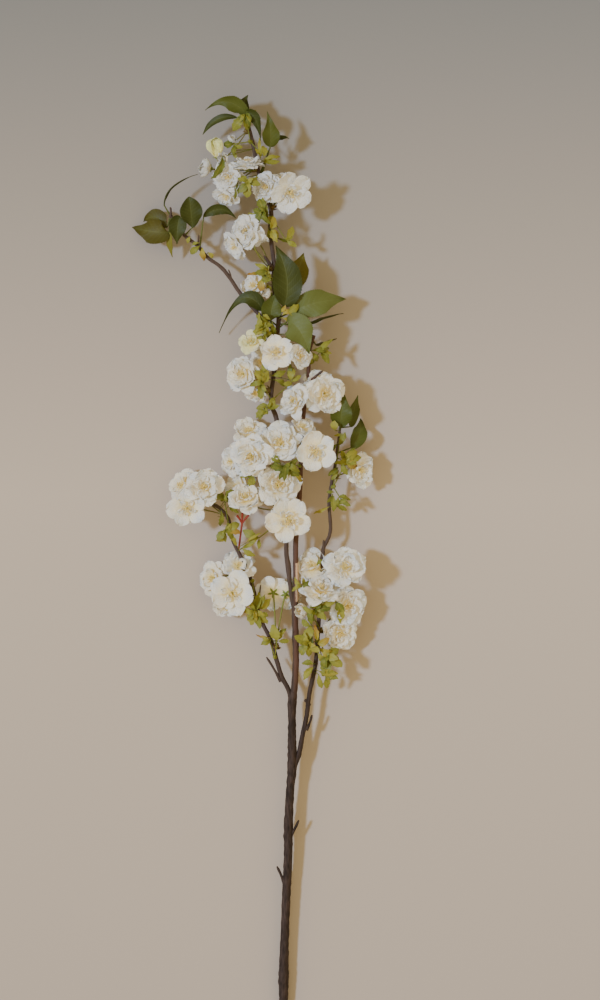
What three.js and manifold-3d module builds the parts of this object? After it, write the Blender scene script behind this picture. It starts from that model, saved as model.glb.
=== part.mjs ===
// Cherry blossom sprig: one woody branch with bunches of double white blooms, lime leaflets and
// large dark leaves, lying on its back on a table.
//
// Millimetres. +X is across the sprig, +Y runs from the cut end to the tip, +Z is up.
// The table is z = 0 and the cut end of the stem is at y = 0 until the last step, which moves the
// origin to the middle of the sprig's bounding box, on the table.

import * as THREE from 'three';
import { mergeVertices } from 'three/addons/utils/BufferGeometryUtils.js';
import Module from 'manifold-3d';

const wasm = await Module();
wasm.setup();

// ---------------------------------------------------------------- driving dimensions

const GAP = 0.35;              // clearance between pieces that touch
const WELD = 0.03;             // edges shorter than this are closed up after a cut
const PETAL_THICK = 0.6;
const LEAF_THICK = 0.7;
const LEAFLET_THICK = 0.6;
const LEAFLET_SPREAD = 22;     // degrees from a leaflet's rib to its shoulder
const LEAFLET_WAIST = 1.6;     // how near the middle the notches between leaflets reach
const WHORL_ARCH = 2;          // rise of a whorl's stalk above a straight line
const JOINT_REACH = 2.4;       // from the middle of a whorl to the stalk under one leaflet's rib
const LEAFLET_DROOP = [-0.1, 0.7]; // how far a leaflet's tip rises for its length: least, range
const LEAFLET_TILT = 0.5;      // how far a leaflet turns over to one side
const LEAFLET_SIZES = [0.8, 0.4]; // a leaflet's share of the whorl's length: least, range
// The corners of one leaflet: turn from its rib, distance out and rise. The first is the notch.
const LEAFLET_CORNERS = [[0, 0, 0], [-1, 0.6, 1], [0, 1, 0.7], [1, 0.6, 1]];
const STALK_RADIUS = 0.85;     // flower stalks
const STALK_WIDEN = 0.5;       // their growth in width towards the bloom
const STALK_SEAT = 0.13;       // from the middle of a bloom to its stalk, in bloom radii
const STALK_RUN = 0.45;        // the part of a stalk that follows the bloom's axis
const STALK_LIFT = 3;          // a flower stalk leaves the wood at least this much upwards
const STALK_DROP = 0.55;       // and falls at most this much for each step sideways
const LEAF_STEPS = 5;
const LEAF_STALK = 1 / LEAF_STEPS; // the part of a leaf's length that is its stalk
const LEAF_STALK_WIDTH = 0.08; // the stalk's width and the tip's, for the leaf's width
const LEAF_FOLD = 0.22;        // rise of a leaf's edges from its midrib
const BUD_SIZE = 3.4;          // bud on the wood where a bunch grows
const BUD_SEAT = 1.4;          // from the limb's surface to the middle of the bud
const BUD_LIFT = 4;            // the least upward lean of a bud
const SPUR_TAPER = 0.6;        // the part of a spur's radius that it loses to its tip
const LEAFLETS_BELOW = 11;     // the leaflets of a bunch grow this far below its flowers
const SEED_STEP = 10;          // between the random seeds of two bunches
const WHORL_SEED = 500;        // the seed of the first whorl
const BED = 6;                 // soft pieces lower than this bend flat against the table

const PETALS = 5;              // petals in each ring of a bloom
const PETAL_SPREAD = 2.3;      // how far apart the corners of a petal stand
const PETAL_TWIST = 40;        // degrees between the rises of a petal's two corners
const PETAL_WAVE = 14;         // degrees that the rise of a corner varies
const PETAL_VARY = 0.1;        // the part that the reach of a corner varies
const BLOOM_DEPTH = 0.25;      // from a bloom's middle down to its petals' foot, in radii
const BUD_RISE = 56;           // degrees that the petals of a half closed bloom rise
const BUD_RADIUS = 12.5;       // a bloom smaller than this is half closed
// The rings of a bloom. Size and offset are in bloom radii, rise in degrees from flat, waist in
// ring radii, turn in radians and lift in millimetres.
const OUTER_RING = { size: 1, corners: 2, rise: 20, waist: 0.4, offset: 0, lift: 0, turn: 0 };
const INNER_RING = { size: 0.64, corners: 1, rise: 54, waist: 0.5, offset: 0.09, lift: 1.1, turn: 0.6 };

const BARK = { color: '#4b3a35', roughness: 0.85 };
const PETAL = { color: '#f4f1ea', roughness: 0.8 };
const LIME = { color: '#8d9a2c', roughness: 0.6 };
const LEAF = { color: '#3f5a22', roughness: 0.45 };

// ---------------------------------------------------------------- wood

// Each limb is a list of [x, y, z, radius] from its thick end to its tip.
const LIMBS = {
  stem: [
    [-1, 0, 5.6, 5.0], [0, 90, 8.5, 4.8], [0, 112, 9.5, 5.7], [1, 144, 11, 4.5],
    [3, 200, 13, 4.6], [5, 245, 15, 4.5], [5, 268, 16, 5.1], [7, 310, 18, 4.3],
    [9, 334, 19, 5.2], [9, 363, 20.5, 4.5], [9, 383, 21.5, 4.0], [9, 402, 22.5, 4.9],
    [11, 414, 23, 3.7], [13, 447, 24.5, 3.4], [12, 489, 26.5, 3.3], [12, 508, 27.5, 3.2],
  ],
  leader: [
    [12, 497, 27, 2.7], [9, 512, 28, 2.5], [6, 533, 29, 2.4], [5, 545, 29.5, 2.9],
    [3, 559, 30, 2.4], [3, 575, 30, 2.4], [-2, 615, 30, 2.4], [-6, 657, 30, 2.4],
    [-9, 687, 30, 2.3], [-7, 698, 30, 2.6], [-13, 718, 30, 2.3], [-10, 748, 30, 2.3],
    [-6, 794, 30, 2.3], [-5, 812, 30, 2.6], [-10, 838, 29, 2.3], [-10, 862, 29, 2.3],
    [-14, 898, 30, 2.2], [-13, 917, 30, 2.4], [-17, 933, 30, 2.2], [-25, 955, 31, 2.1],
    [-33, 993, 32, 2.0], [-39, 1017, 33, 1.5],
  ],
  right_leader: [
    [12, 497, 27, 3.0], [13, 520, 28, 3.0], [13, 572, 29, 2.8], [17, 618, 29, 2.4],
    [18, 646, 29, 2.2], [21, 704, 29, 2.2], [26, 746, 29, 2.1], [27, 770, 29, 2.0],
    [32, 788, 29, 1.8],
  ],
  left_branch: [
    [10, 394, 22, 2.6], [5, 416, 22.5, 2.5], [-1, 427, 23, 2.5], [-8, 449, 23.5, 2.4],
    [-13, 467, 24, 2.3], [-24, 489, 25, 2.2], [-28, 504, 25, 2.2], [-33, 526, 25, 2.1],
    [-39, 544, 25, 2.1], [-53, 572, 25, 2.0], [-59, 597, 25, 2.0], [-71, 609, 25, 1.9],
    [-80, 612, 25.5, 1.3],
  ],
  right_branch: [
    [9, 328, 19, 2.9], [16, 347, 20, 2.7], [19, 363, 20.5, 2.6], [24, 386, 21, 2.5],
    [27, 410, 21.5, 2.4], [34, 445, 23, 2.3], [36, 475, 24, 2.3], [38, 497, 24.5, 2.2],
    [41, 538, 25, 2.2], [41, 561, 25, 2.0], [49, 581, 25, 1.8], [48, 614, 25, 1.8],
    [55, 657, 25, 1.7], [60, 694, 25, 1.3],
  ],
  upper_branch: [
    [-6, 789, 30, 2.3], [-20, 804, 29, 2.1], [-43, 829, 28, 2.0], [-64, 858, 26, 2.1],
    [-81, 871, 25, 1.9], [-90, 882, 24.5, 2.0], [-105, 894, 24, 1.8], [-119, 915, 23.5, 1.6],
  ],
};

// Short side growths: [from, to, radius at the foot].
const SPURS = [
  [[2, 207, 13], [-7, 229, 15], 2.2],
  [[5, 257, 16], [16, 278, 18], 2.2],
  [[-10, 856, 29], [-20, 872, 31], 2.5],
  [[17, 620, 29], [-1, 616, 35], 1.5],
  [[27, 736, 29], [41, 751, 31], 1.7],
  [[-3, 424, 23], [-18, 450, 26], 1.9],
  [[-28, 504, 25], [-24, 526, 28], 1.2],
  [[-33, 527, 25], [-41, 517, 27], 1.2],
  [[24, 373, 21], [30, 389, 23], 1.9],
  [[27, 399, 21], [22, 405, 23], 2.4],
  [[-64, 859, 26], [-55, 846, 28], 1.4],
  [[-91, 881, 24], [-88, 892, 26], 1.4],
  [[41, 557, 25], [42, 573, 26], 2.1],
];

// ---------------------------------------------------------------- bunches

// A bloom is [x, y, z, radius, lean direction, lean], with angles in degrees. The lean direction
// is 0 to the right and 90 towards the tip; a lean of 0 faces straight up and 180 straight down.
// A bloom with a seventh value of 1 has only its outer ring of petals.
// A whorl is [x, y, z, leaflets, leaflet length, first direction, sweep].
const BUNCHES = [
  {
    name: 'tip', limb: 'leader', y: 1002,
    blooms: [[-70, 987, 36, 12, 110, 55], [-57, 994, 30, 11, 60, 60]],
    whorls: [
      [-44, 1012, 40, 4, 15, 100, 190], [-52, 990, 40, 3, 13, 200, 150],
      [-28, 984, 42, 3, 12, 60, 110],
    ],
  },
  {
    name: 'high', limb: 'leader', y: 962,
    blooms: [
      [-38, 967, 44, 17, 90, 70], [-59, 951, 50, 19, 210, 15], [-62, 934, 38, 15, 240, 50, 1],
      [-63, 971, 40, 9, 120, 30], [-80, 964, 26, 12, 170, 60],
    ],
    whorls: [[-36, 946, 50, 5, 12, 210, 270]],
  },
  {
    name: 'upper', limb: 'leader', y: 922,
    blooms: [[-18, 943, 44, 17, 190, 20], [7, 934, 52, 22, 330, 8], [-1, 957, 30, 15, 90, 50, 1]],
    whorls: [
      [-20, 917, 44, 4, 14, 100, 200], [-12, 898, 40, 3, 12, 280, 140], [2, 888, 40, 3, 12, 330, 80],
    ],
  },
  {
    name: 'upper_left', limb: 'leader', y: 868,
    blooms: [
      [-40, 896, 42, 21, 190, 25], [-24, 889, 46, 17, 60, 105], [-52, 879, 28, 15, 240, 50, 1],
    ],
    whorls: [[-18, 850, 40, 4, 14, 130, 200]],
  },
  {
    name: 'side', limb: 'leader', y: 826,
    blooms: [[-37, 843, 12, 15, 160, 80, 1], [-19, 834, 40, 11, 150, 40]],
    whorls: [[5, 812, 42, 3, 13, 330, 90]],
  },
  {
    name: 'middle', limb: 'leader', y: 788,
    blooms: [
      [-36, 781, 40, 15, 130, 30, 1], [-8, 770, 50, 19, 100, 14], [18, 767, 42, 14, 0, 40, 1],
      [-22, 761, 13, 15, 200, 40, 1],
    ],
    whorls: [[-20, 796, 46, 5, 15, 60, 260], [5, 787, 38, 2, 10, 330, 80]],
  },
  {
    name: 'middle_left', limb: 'leader', y: 730,
    blooms: [[-46, 747, 42, 20, 180, 30], [-30, 726, 34, 12, 250, 50, 1]],
    whorls: [
      [-22, 737, 50, 4, 14, 60, 190], [-18, 711, 42, 4, 12, 230, 200], [8, 738, 44, 3, 14, 20, 130],
    ],
  },
  {
    name: 'middle_right', limb: 'right_leader', y: 738, leafY: 760,
    blooms: [[10, 719, 44, 19, 160, 50], [45, 724, 46, 21, 350, 45], [35, 748, 30, 15, 70, 40, 1]],
    whorls: [[39, 771, 34, 3, 14, 300, 120]],
  },
  {
    name: 'heart_left', limb: 'leader', y: 668,
    blooms: [
      [-34, 661, 50, 22, 200, 18], [-36, 688, 14, 16, 100, 40, 1], [-57, 656, 16, 16, 180, 50, 1],
    ],
    whorls: [[-36, 641, 42, 3, 16, 150, 120]],
  },
  {
    name: 'heart_right', limb: 'right_leader', y: 662,
    blooms: [
      [-4, 675, 46, 22, 110, 25], [38, 669, 54, 23, 300, 8], [20, 692, 34, 13, 80, 45, 1],
    ],
    whorls: [[3, 651, 56, 4, 14, 170, 190]],
  },
  {
    name: 'low_heart', limb: 'leader', y: 604,
    blooms: [
      [-5, 631, 46, 21, 45, 14], [5, 594, 54, 24, 280, 8], [-47, 630, 30, 16, 170, 30, 1],
      [-38, 608, 44, 19, 260, 18],
    ],
    whorls: [[-26, 575, 36, 3, 14, 160, 120]],
  },
  {
    name: 'far_left', limb: 'left_branch', y: 600,
    blooms: [[-83, 629, 44, 20, 90, 10], [-101, 606, 42, 21, 240, 10], [-108, 631, 12, 16, 150, 45, 1]],
    whorls: [[-62, 616, 38, 4, 14, 340, 190], [-60, 584, 36, 4, 14, 200, 200]],
  },
  {
    name: 'lower_left', limb: 'left_branch', y: 541,
    blooms: [
      [-55, 516, 48, 26, 250, 8], [-46, 551, 20, 19, 90, 35, 1], [-79, 530, 12, 18, 180, 40, 1],
      [-58, 495, 24, 15, 260, 45, 1],
    ],
    whorls: [[-28, 500, 40, 5, 16, 20, 290]],
  },
  {
    name: 'lower_stalk', limb: 'left_branch', y: 461,
    blooms: [[-15, 526, 30, 14, 120, 75, 1], [1, 525, 32, 14, 60, 75, 1]],
    whorls: [[-6, 481, 42, 4, 14, 20, 180], [-17, 466, 36, 3, 13, 130, 190]],
  },
  {
    name: 'lower_right', limb: 'right_branch', y: 540,
    blooms: [[65, 545, 46, 20, 60, 18], [40, 518, 42, 19, 100, 35], [30, 546, 18, 17, 120, 45, 1]],
    whorls: [[34, 500, 48, 5, 16, 20, 280], [20, 524, 38, 3, 12, 80, 120]],
  },
  {
    name: 'low_right', limb: 'right_branch', y: 478,
    blooms: [[67, 502, 26, 19, 0, 30], [60, 471, 15, 17, 290, 35], [21, 494, 40, 11, 170, 40]],
    whorls: [
      [26, 465, 40, 5, 16, 100, 230], [46, 452, 34, 4, 15, 250, 160], [44, 431, 30, 4, 15, 280, 170],
    ],
  },
  {
    name: 'far_right', limb: 'right_branch', y: 640,
    blooms: [[82, 646, 16, 18, 350, 50]],
    whorls: [
      [66, 655, 38, 5, 16, 330, 200], [56, 620, 34, 4, 14, 250, 200], [60, 685, 36, 2, 10, 200, 80],
    ],
  },
];

// ---------------------------------------------------------------- large leaves

// A leaf is [foot, base, via, tip, width, face]: its stalk leaves the wood at the foot, and its
// blade follows the curve from base to tip. Face turns the blade about that curve, in degrees.
const LEAVES = {
  tip_long: [[-39, 1015, 33], [-42, 1021, 37], [-62, 1046, 50], [-82, 1025, 34], 18, -20],
  tip_short: [[-39, 1016, 33], [-46, 1024, 33], [-42, 1034, 34], [-38, 1041, 30], 8, 20],
  tip_right: [[-39, 1015, 33], [-36, 1022, 38], [-22, 1022, 44], [-23, 990, 32], 10, 40],
  tip_left: [[-38, 1011, 33], [-50, 1014, 34], [-72, 1022, 36], [-85, 998, 24], 8, 20],
  high_right: [[-24, 952, 31], [-16, 986, 38], [-14, 1006, 46], [-17, 1023, 42], 17, 15],
  high_edge: [[-25, 956, 31], [-11, 993, 32], [-4, 999, 36], [6, 994, 34], 9, 75],
  wing_far: [[-118, 911, 24], [-121, 896, 24], [-142, 900, 26], [-160, 903, 1], 22, 0],
  wing_back: [[-119, 914, 23], [-122, 907, 19], [-137, 916, 16], [-152, 910, -4], 13, 0],
  wing_down: [[-110, 901, 24], [-109, 913, 32], [-112, 902, 36], [-112, 884, 28], 18, 0],
  wing_broad: [[-104, 893, 24], [-98, 904, 30], [-96, 920, 38], [-100, 934, 36], 22, 10],
  wing_right: [[-88, 880, 25], [-86, 912, 30], [-68, 932, 36], [-50, 911, 28], 13, 15],
  wing_edge: [[-119, 914, 23], [-122, 926, 28], [-123, 946, 36], [-90, 957, 30], 9, 85],
  wing_drop: [[-113, 906, 24], [-118, 894, 17], [-120, 884, 12], [-117, 870, -4], 8, 30],
  crown_broad: [[-5, 812, 30], [1, 817, 42], [10, 848, 56], [-8, 881, 48], 30, 5],
  crown_back: [[-6, 808, 30], [9, 836, 34], [20, 852, 34], [23, 874, 26], 20, 10],
  crown_right: [[-5, 806, 30], [11, 814, 40], [38, 824, 52], [68, 826, 32], 27, 0],
  crown_left: [[-7, 798, 30], [-13, 804, 38], [-14, 816, 42], [-9, 829, 42], 14, 0],
  crown_low: [[-6, 795, 30], [5, 803, 42], [20, 796, 54], [27, 768, 44], 29, 5],
  crown_edge: [[-6, 800, 30], [22, 798, 30], [40, 808, 30], [63, 811, 24], 9, 75],
  crown_thin: [[30, 784, 29], [34, 778, 26], [44, 781, 26], [56, 785, 18], 8, 70],
  crown_droop: [[-7, 792, 30], [-22, 816, 34], [-56, 844, 40], [-68, 791, 14], 13, 10],
  end_broad: [[59, 688, 25], [60, 692, 34], [60, 708, 44], [64, 725, 40], 22, 0],
  end_side: [[59, 691, 25], [70, 692, 26], [74, 708, 30], [78, 725, 26], 12, 20],
  end_right: [[56, 664, 25], [71, 670, 26], [84, 684, 30], [81, 701, 4], 16, 10],
};

// ---------------------------------------------------------------- solids

const vec = (list) => new THREE.Vector3(list[0], list[1], list[2]);
const rad = THREE.MathUtils.degToRad;
const UP = new THREE.Vector3(0, 0, 1);

/** A repeatable number from 0 to 1 for a place and a use. */
function draw(seed, use) {
  const wave = Math.sin(seed * 127.1 + use * 311.7) * 43758.5453;
  return wave - Math.floor(wave);
}

/** A closed geometry as a solid that can be joined and cut. */
function toSolid(geometry) {
  geometry.deleteAttribute('normal');
  geometry.deleteAttribute('uv');
  const merged = mergeVertices(geometry, 1e-4);
  return new wasm.Manifold(new wasm.Mesh({
    numProp: 3,
    vertProperties: new Float32Array(merged.attributes.position.array),
    triVerts: new Uint32Array(merged.index.array),
  }));
}

/** The geometry of a solid. */
function toGeometry(solid) {
  const mesh = solid.getMesh();
  const geometry = new THREE.BufferGeometry();
  geometry.setAttribute('position', new THREE.BufferAttribute(new Float32Array(mesh.vertProperties), 3));
  geometry.setIndex(new THREE.BufferAttribute(new Uint32Array(mesh.triVerts), 1));
  geometry.computeVertexNormals();
  return geometry;
}

const join = (solids) => solids.reduce((all, one) => all.add(one));

/** The middle of some points. */
function middleOf(points) {
  return points.reduce((sum, p) => sum.add(p), new THREE.Vector3()).divideScalar(points.length);
}

/** Moves each vertex of a geometry by a function and returns the solid. */
function shape(geometry, move) {
  const place = geometry.attributes.position;
  const point = new THREE.Vector3();
  for (let i = 0; i < place.count; i += 1) {
    point.fromBufferAttribute(place, i);
    place.setXYZ(i, ...move(point).toArray());
  }
  return toSolid(geometry);
}

/** Bends a low point of a soft piece towards the table, so that it lies on it. */
function settle(point) {
  if (point.z < BED) point.z = BED * Math.exp((point.z - BED) / BED);
  return point;
}

/** A rod bent along a curve. radiusAt gives its radius at 0 to 1. */
function rod(curve, radiusAt, sides, steps, flat, grow) {
  return shape(new THREE.CylinderGeometry(1, 1, 1, sides, steps), (p) => {
    const t = THREE.MathUtils.clamp(p.y + 0.5, 0, 1);
    const along = curve.getTangent(t);
    const across = new THREE.Vector3().crossVectors(flat, along).normalize();
    const third = new THREE.Vector3().crossVectors(across, along);
    const radius = radiusAt(t) + grow;
    return curve.getPoint(t)
      .addScaledVector(across, p.x * radius)
      .addScaledVector(third, p.z * radius)
      .addScaledVector(along, Math.sign(p.y) * (Math.abs(p.y) === 0.5 ? grow : 0));
  });
}

/** A thin three-sided stalk from one point to another, leaving towards `via`. */
function stalk(from, via, to, radiusAt, steps, grow) {
  const curve = new THREE.QuadraticBezierCurve3(from, via, to);
  const flat = new THREE.Vector3().crossVectors(
    new THREE.Vector3().subVectors(via, from), new THREE.Vector3().subVectors(to, via));
  if (flat.length() < 1e-3) flat.set(0.3, 0.2, 1);
  flat.normalize();
  return rod(curve, radiusAt, 3, steps, flat, grow);
}

/** One limb of the wood as a curve, with its radius along it. */
function limbCurve(rows) {
  const curve = new THREE.CatmullRomCurve3(rows.map(vec));
  const radiusAt = (t) => {
    const place = t * (rows.length - 1);
    const i = Math.min(Math.floor(place), rows.length - 2);
    return THREE.MathUtils.lerp(rows[i][3], rows[i + 1][3], place - i);
  };
  return { curve, radiusAt };
}

/** The point on a limb's axis at a height y, and the limb's radius there. */
function onLimb(name, y) {
  const { curve, radiusAt } = limbCurve(LIMBS[name]);
  let low = 0;
  let high = 1;
  for (let i = 0; i < 30; i += 1) {
    const middle = (low + high) / 2;
    if (curve.getPoint(middle).y < y) low = middle;
    else high = middle;
  }
  return { point: curve.getPoint(low), radius: radiusAt(low) };
}

/** The whole branch, grown outwards by `grow`. */
function wood(grow) {
  const limbs = Object.entries(LIMBS).map(([name, rows]) => {
    const { curve, radiusAt } = limbCurve(rows);
    const sides = name === 'stem' ? 8 : 5;
    return rod(curve, radiusAt, sides, rows.length - 1, UP, grow);
  });
  const spurs = SPURS.map(([from, to, radius]) => {
    const curve = new THREE.LineCurve3(vec(from), vec(to));
    return rod(curve, (t) => radius * (1 - SPUR_TAPER * t), 3, 1, UP, grow);
  });
  return join([...limbs, ...spurs]);
}

// ---------------------------------------------------------------- blooms

/** Where a bloom faces, and the point where its stalk ends. */
function bloomPose([x, y, z, radius, direction, lean], seed) {
  const facing = new THREE.Vector3(
    Math.sin(rad(lean)) * Math.cos(rad(direction)),
    Math.sin(rad(lean)) * Math.sin(rad(direction)),
    Math.cos(rad(lean)));
  const turn = new THREE.Quaternion().setFromUnitVectors(UP, facing);
  turn.multiply(new THREE.Quaternion().setFromAxisAngle(UP, draw(seed, 1) * Math.PI * 2));
  const base = vec([x, y, z]).addScaledVector(facing, -BLOOM_DEPTH * radius);
  return { facing, turn, base, radius };
}

/**
 * A ring of petals: a thin disc drawn up into a cone, with its rim cut in to leave the petals.
 * `corners` is the number of outer corners on each petal, and the rim turns in between petals.
 */
function petalRing(pose, seed, { size, corners, rise, waist, offset, lift, turn }, grow) {
  const around = corners + 1;
  const radius = size * pose.radius;
  const shift = vec([Math.cos(turn), Math.sin(turn), 0]).multiplyScalar(offset * pose.radius);
  const disc = new THREE.CylinderGeometry(1, 1, 1, PETALS * around, 1);
  return shape(disc, (p) => {
    const rim = Math.hypot(p.x, p.z) > 0.5;
    const step = Math.round((Math.atan2(p.x, p.z) / (Math.PI * 2) + 1) * PETALS * around);
    const which = Math.floor(step / around) % PETALS;
    const corner = step % around;
    const side = corner === 0 ? 0 : (corner - (around / 2)) / around;
    const spread = corner === 0 ? 0 : 0.5 + side * PETAL_SPREAD;
    const angle = ((which + spread) / PETALS) * Math.PI * 2 + turn;
    const wave = corner === 0 ? 0 : draw(seed, 7 * which + corner) - 0.5;
    const slope = rad(rise + PETAL_WAVE * wave + PETAL_TWIST * side);
    const reach = radius * (corner === 0 ? waist : 1 + PETAL_VARY * wave) + grow;
    const out = new THREE.Vector3(Math.cos(angle), Math.sin(angle), 0);
    const thick = (PETAL_THICK + 2 * grow) * p.y;
    const local = rim
      ? out.clone().multiplyScalar(reach * Math.cos(slope) - thick * Math.sin(slope))
        .setZ(reach * Math.sin(slope) + thick * Math.cos(slope))
      : new THREE.Vector3(0, 0, thick / Math.cos(rad(rise)));
    local.add(shift).z += lift;
    return settle(local.applyQuaternion(pose.turn).add(pose.base));
  });
}

/** The rings of petals of one bloom. A half closed bloom and a single one have no inner ring. */
function bloom(row, seed, grow) {
  const pose = bloomPose(row, seed);
  if (pose.radius < BUD_RADIUS) return [petalRing(pose, seed, { ...OUTER_RING, rise: BUD_RISE }, grow)];
  const outer = petalRing(pose, seed, OUTER_RING, grow);
  return row[6] === 1 ? [outer] : [outer, petalRing(pose, seed + 0.5, INNER_RING, grow)];
}

/** The stalk that carries a bloom. It widens and meets the bloom under the rib of one petal. */
function flowerStalk(row, seed, root, grow) {
  const { facing, turn, base, radius } = bloomPose(row, seed);
  const reach = base.distanceTo(root);
  const via = base.clone().addScaledVector(facing, -STALK_RUN * reach);
  const clear = root.z + STALK_LIFT - STALK_DROP * Math.abs(via.x - root.x);
  via.z = Math.max(via.z, clear, BED);
  const seat = new THREE.Vector3(-1, 0, Math.tan(rad(OUTER_RING.rise))).multiplyScalar(STALK_SEAT * radius);
  const top = seat.applyQuaternion(turn).add(base);
  const widen = (t) => STALK_RADIUS * (1 + STALK_WIDEN * t);
  return stalk(root, via, settle(top), widen, 2, grow);
}

// ---------------------------------------------------------------- leaves

/** A curve with a straight stalk for its first part and a bent blade for the rest. */
class LeafCurve extends THREE.Curve {
  constructor(foot, bend) {
    super();
    this.foot = foot;
    this.bend = bend;
  }

  getPoint(t) {
    if (t < LEAF_STALK) return this.foot.clone().lerp(this.bend.getPoint(0), t / LEAF_STALK);
    return this.bend.getPoint((t - LEAF_STALK) / (1 - LEAF_STALK));
  }

  getTangent(t) {
    const past = (t - LEAF_STALK) / (1 - LEAF_STALK);
    const stalkRun = this.bend.getPoint(0).sub(this.foot).normalize();
    if (past < -0.01) return stalkRun;
    const bladeRun = this.bend.getTangent(Math.max(0, past));
    return past < 0.01 ? bladeRun.add(stalkRun).normalize() : bladeRun;
  }
}

/** The width of a large leaf along its length, as a part of its full width. */
function leafOutline(t) {
  const u = (t - LEAF_STALK) / (1 - LEAF_STALK);
  return u <= 0 ? LEAF_STALK_WIDTH : Math.max(LEAF_STALK_WIDTH, Math.sin(Math.PI * u ** 0.8) ** 0.85);
}

/** A large leaf with its stalk: a pointed blade along a curve, folded a little at its midrib. */
function leaf([foot, base, via, tip, width, face], grow) {
  const bend = new THREE.QuadraticBezierCurve3(vec(base), vec(via), vec(tip));
  const curve = new LeafCurve(vec(foot), bend);
  return shape(new THREE.BoxGeometry(1, 1, 1, 2, LEAF_STEPS, 1), (p) => {
    const t = THREE.MathUtils.clamp(p.y + 0.5, 0, 1);
    const run = curve.getTangent(t);
    const up = UP.clone().applyAxisAngle(run, rad(face));
    const side = new THREE.Vector3().crossVectors(run, up).normalize();
    const normal = new THREE.Vector3().crossVectors(side, run);
    const half = (width / 2) * leafOutline(t) + grow;
    const point = curve.getPoint(t)
      .addScaledVector(side, 2 * p.x * half)
      .addScaledVector(normal, 2 * LEAF_FOLD * Math.abs(p.x) * half)
      .addScaledVector(run, 2 * p.y * grow);
    return settle(point).addScaledVector(normal, p.z * (LEAF_THICK + 2 * grow));
  });
}

/**
 * The lime leaflets of one whorl, on a short stalk. They are one thin star, cut in to its middle:
 * each leaflet has a notch beside it, two shoulders and a point.
 */
function whorl([x, y, z, count, length, first, sweep], seed, root, grow) {
  const middle = vec([x, y, z]);
  const corners = LEAFLET_CORNERS.length;
  const riseOf = (which) => LEAFLET_DROOP[0] + LEAFLET_DROOP[1] * draw(seed, 40 + which);
  const spacing = Math.min(sweep / (count - 1), 360 / count);
  const star = shape(new THREE.CylinderGeometry(1, 1, 1, count * corners, 1), (p) => {
    const step = Math.round((Math.atan2(p.x, p.z) / (Math.PI * 2) + 1) * count * corners);
    const which = Math.floor(step / corners) % count;
    const notch = step % corners === 0;
    const [turn, reach, lift] = LEAFLET_CORNERS[step % corners];
    const size = length * (LEAFLET_SIZES[0] + LEAFLET_SIZES[1] * draw(seed, 20 + which));
    const tilt = LEAFLET_TILT * (draw(seed, 60 + which) - 0.5);
    const shoulder = turn * Math.min(spacing / 2, LEAFLET_SPREAD);
    const angle = rad(first + spacing * which + (notch ? -spacing / 2 : shoulder));
    const rim = Math.hypot(p.x, p.z) > 0.5;
    const out = rim ? (notch ? LEAFLET_WAIST : reach * size) + grow : 0;
    const high = rim ? size * (riseOf(which) * lift + tilt * turn * reach) : 0;
    const thick = p.y * (LEAFLET_THICK + 2 * grow);
    return settle(new THREE.Vector3(out * Math.cos(angle), out * Math.sin(angle), high).add(middle))
      .add(new THREE.Vector3(0, 0, thick));
  });
  const carried = Math.floor(count / 2);
  const joint = rad(first + spacing * carried);
  const [, , rise] = LEAFLET_CORNERS[2];
  const foot = vec([Math.cos(joint), Math.sin(joint), rise * riseOf(carried)])
    .multiplyScalar(JOINT_REACH).add(middle);
  const via = root.clone().lerp(middle, 0.5).add(UP.clone().multiplyScalar(WHORL_ARCH));
  return [star, stalk(root, via, foot, () => STALK_RADIUS, 1, grow)];
}

// ---------------------------------------------------------------- assembly

/** The largest body of a solid, without the scraps that a cut has left. */
function largest(solid) {
  const bodies = solid.decompose();
  return bodies.reduce((best, one) => (one.volume() > best.volume() ? one : best));
}

/** Cuts a solid clear of others that come near it. */
function clearOf(solid, others) {
  const box = solid.boundingBox();
  const near = others.filter((other) => {
    const b = other.boundingBox();
    return [0, 1, 2].every((i) => b.min[i] < box.max[i] && b.max[i] > box.min[i]);
  });
  return near.length ? solid.subtract(join(near)) : solid;
}

const sprig = new THREE.Group();

function addPiece(name, solid, { color, roughness }) {
  const material = new THREE.MeshStandardMaterial({ color, roughness, metalness: 0 });
  const mesh = new THREE.Mesh(toGeometry(largest(solid.asOriginal().simplify(WELD))), material);
  mesh.name = name;
  sprig.add(mesh);
}

/** The bud on the side of a limb from which a bunch grows, leaning towards its parts. */
function budOf({ limb }, y, parts) {
  const { point, radius } = onLimb(limb, y);
  const middle = middleOf(parts.map(vec));
  const lean = new THREE.Vector3(middle.x - point.x, 0, Math.max(middle.z - point.z, BUD_LIFT)).normalize();
  const root = point.clone().addScaledVector(lean, radius + BUD_SEAT);
  const solid = (grow) => shape(new THREE.OctahedronGeometry(BUD_SIZE + grow), (p) => p.add(root));
  return { root, solid };
}

addPiece('woody_branch', wood(0), BARK);

// The grown forms of the pieces that are already there.
const taken = [wood(GAP)];

/** Adds a piece cut clear of all that is already there. `build` makes it at a given growth. */
function addClear(name, build, look) {
  addPiece(name, largest(clearOf(build(0), taken)), look);
  taken.push(build(GAP));
}

BUNCHES.forEach((bunch, b) => {
  const { root, solid } = budOf(bunch, bunch.y, bunch.blooms);
  addClear(`blooms_${bunch.name}`, (grow) => join([
    solid(grow),
    ...bunch.blooms.map((row, i) => flowerStalk(row, b * SEED_STEP + i, root, grow)),
    ...bunch.blooms.flatMap((row, i) => bloom(row, b * SEED_STEP + i, grow)),
  ]), PETAL);
});

Object.entries(LEAVES).forEach(([name, row]) => {
  addClear(`leaf_${name}`, (grow) => leaf(row, grow), LEAF);
});

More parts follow.
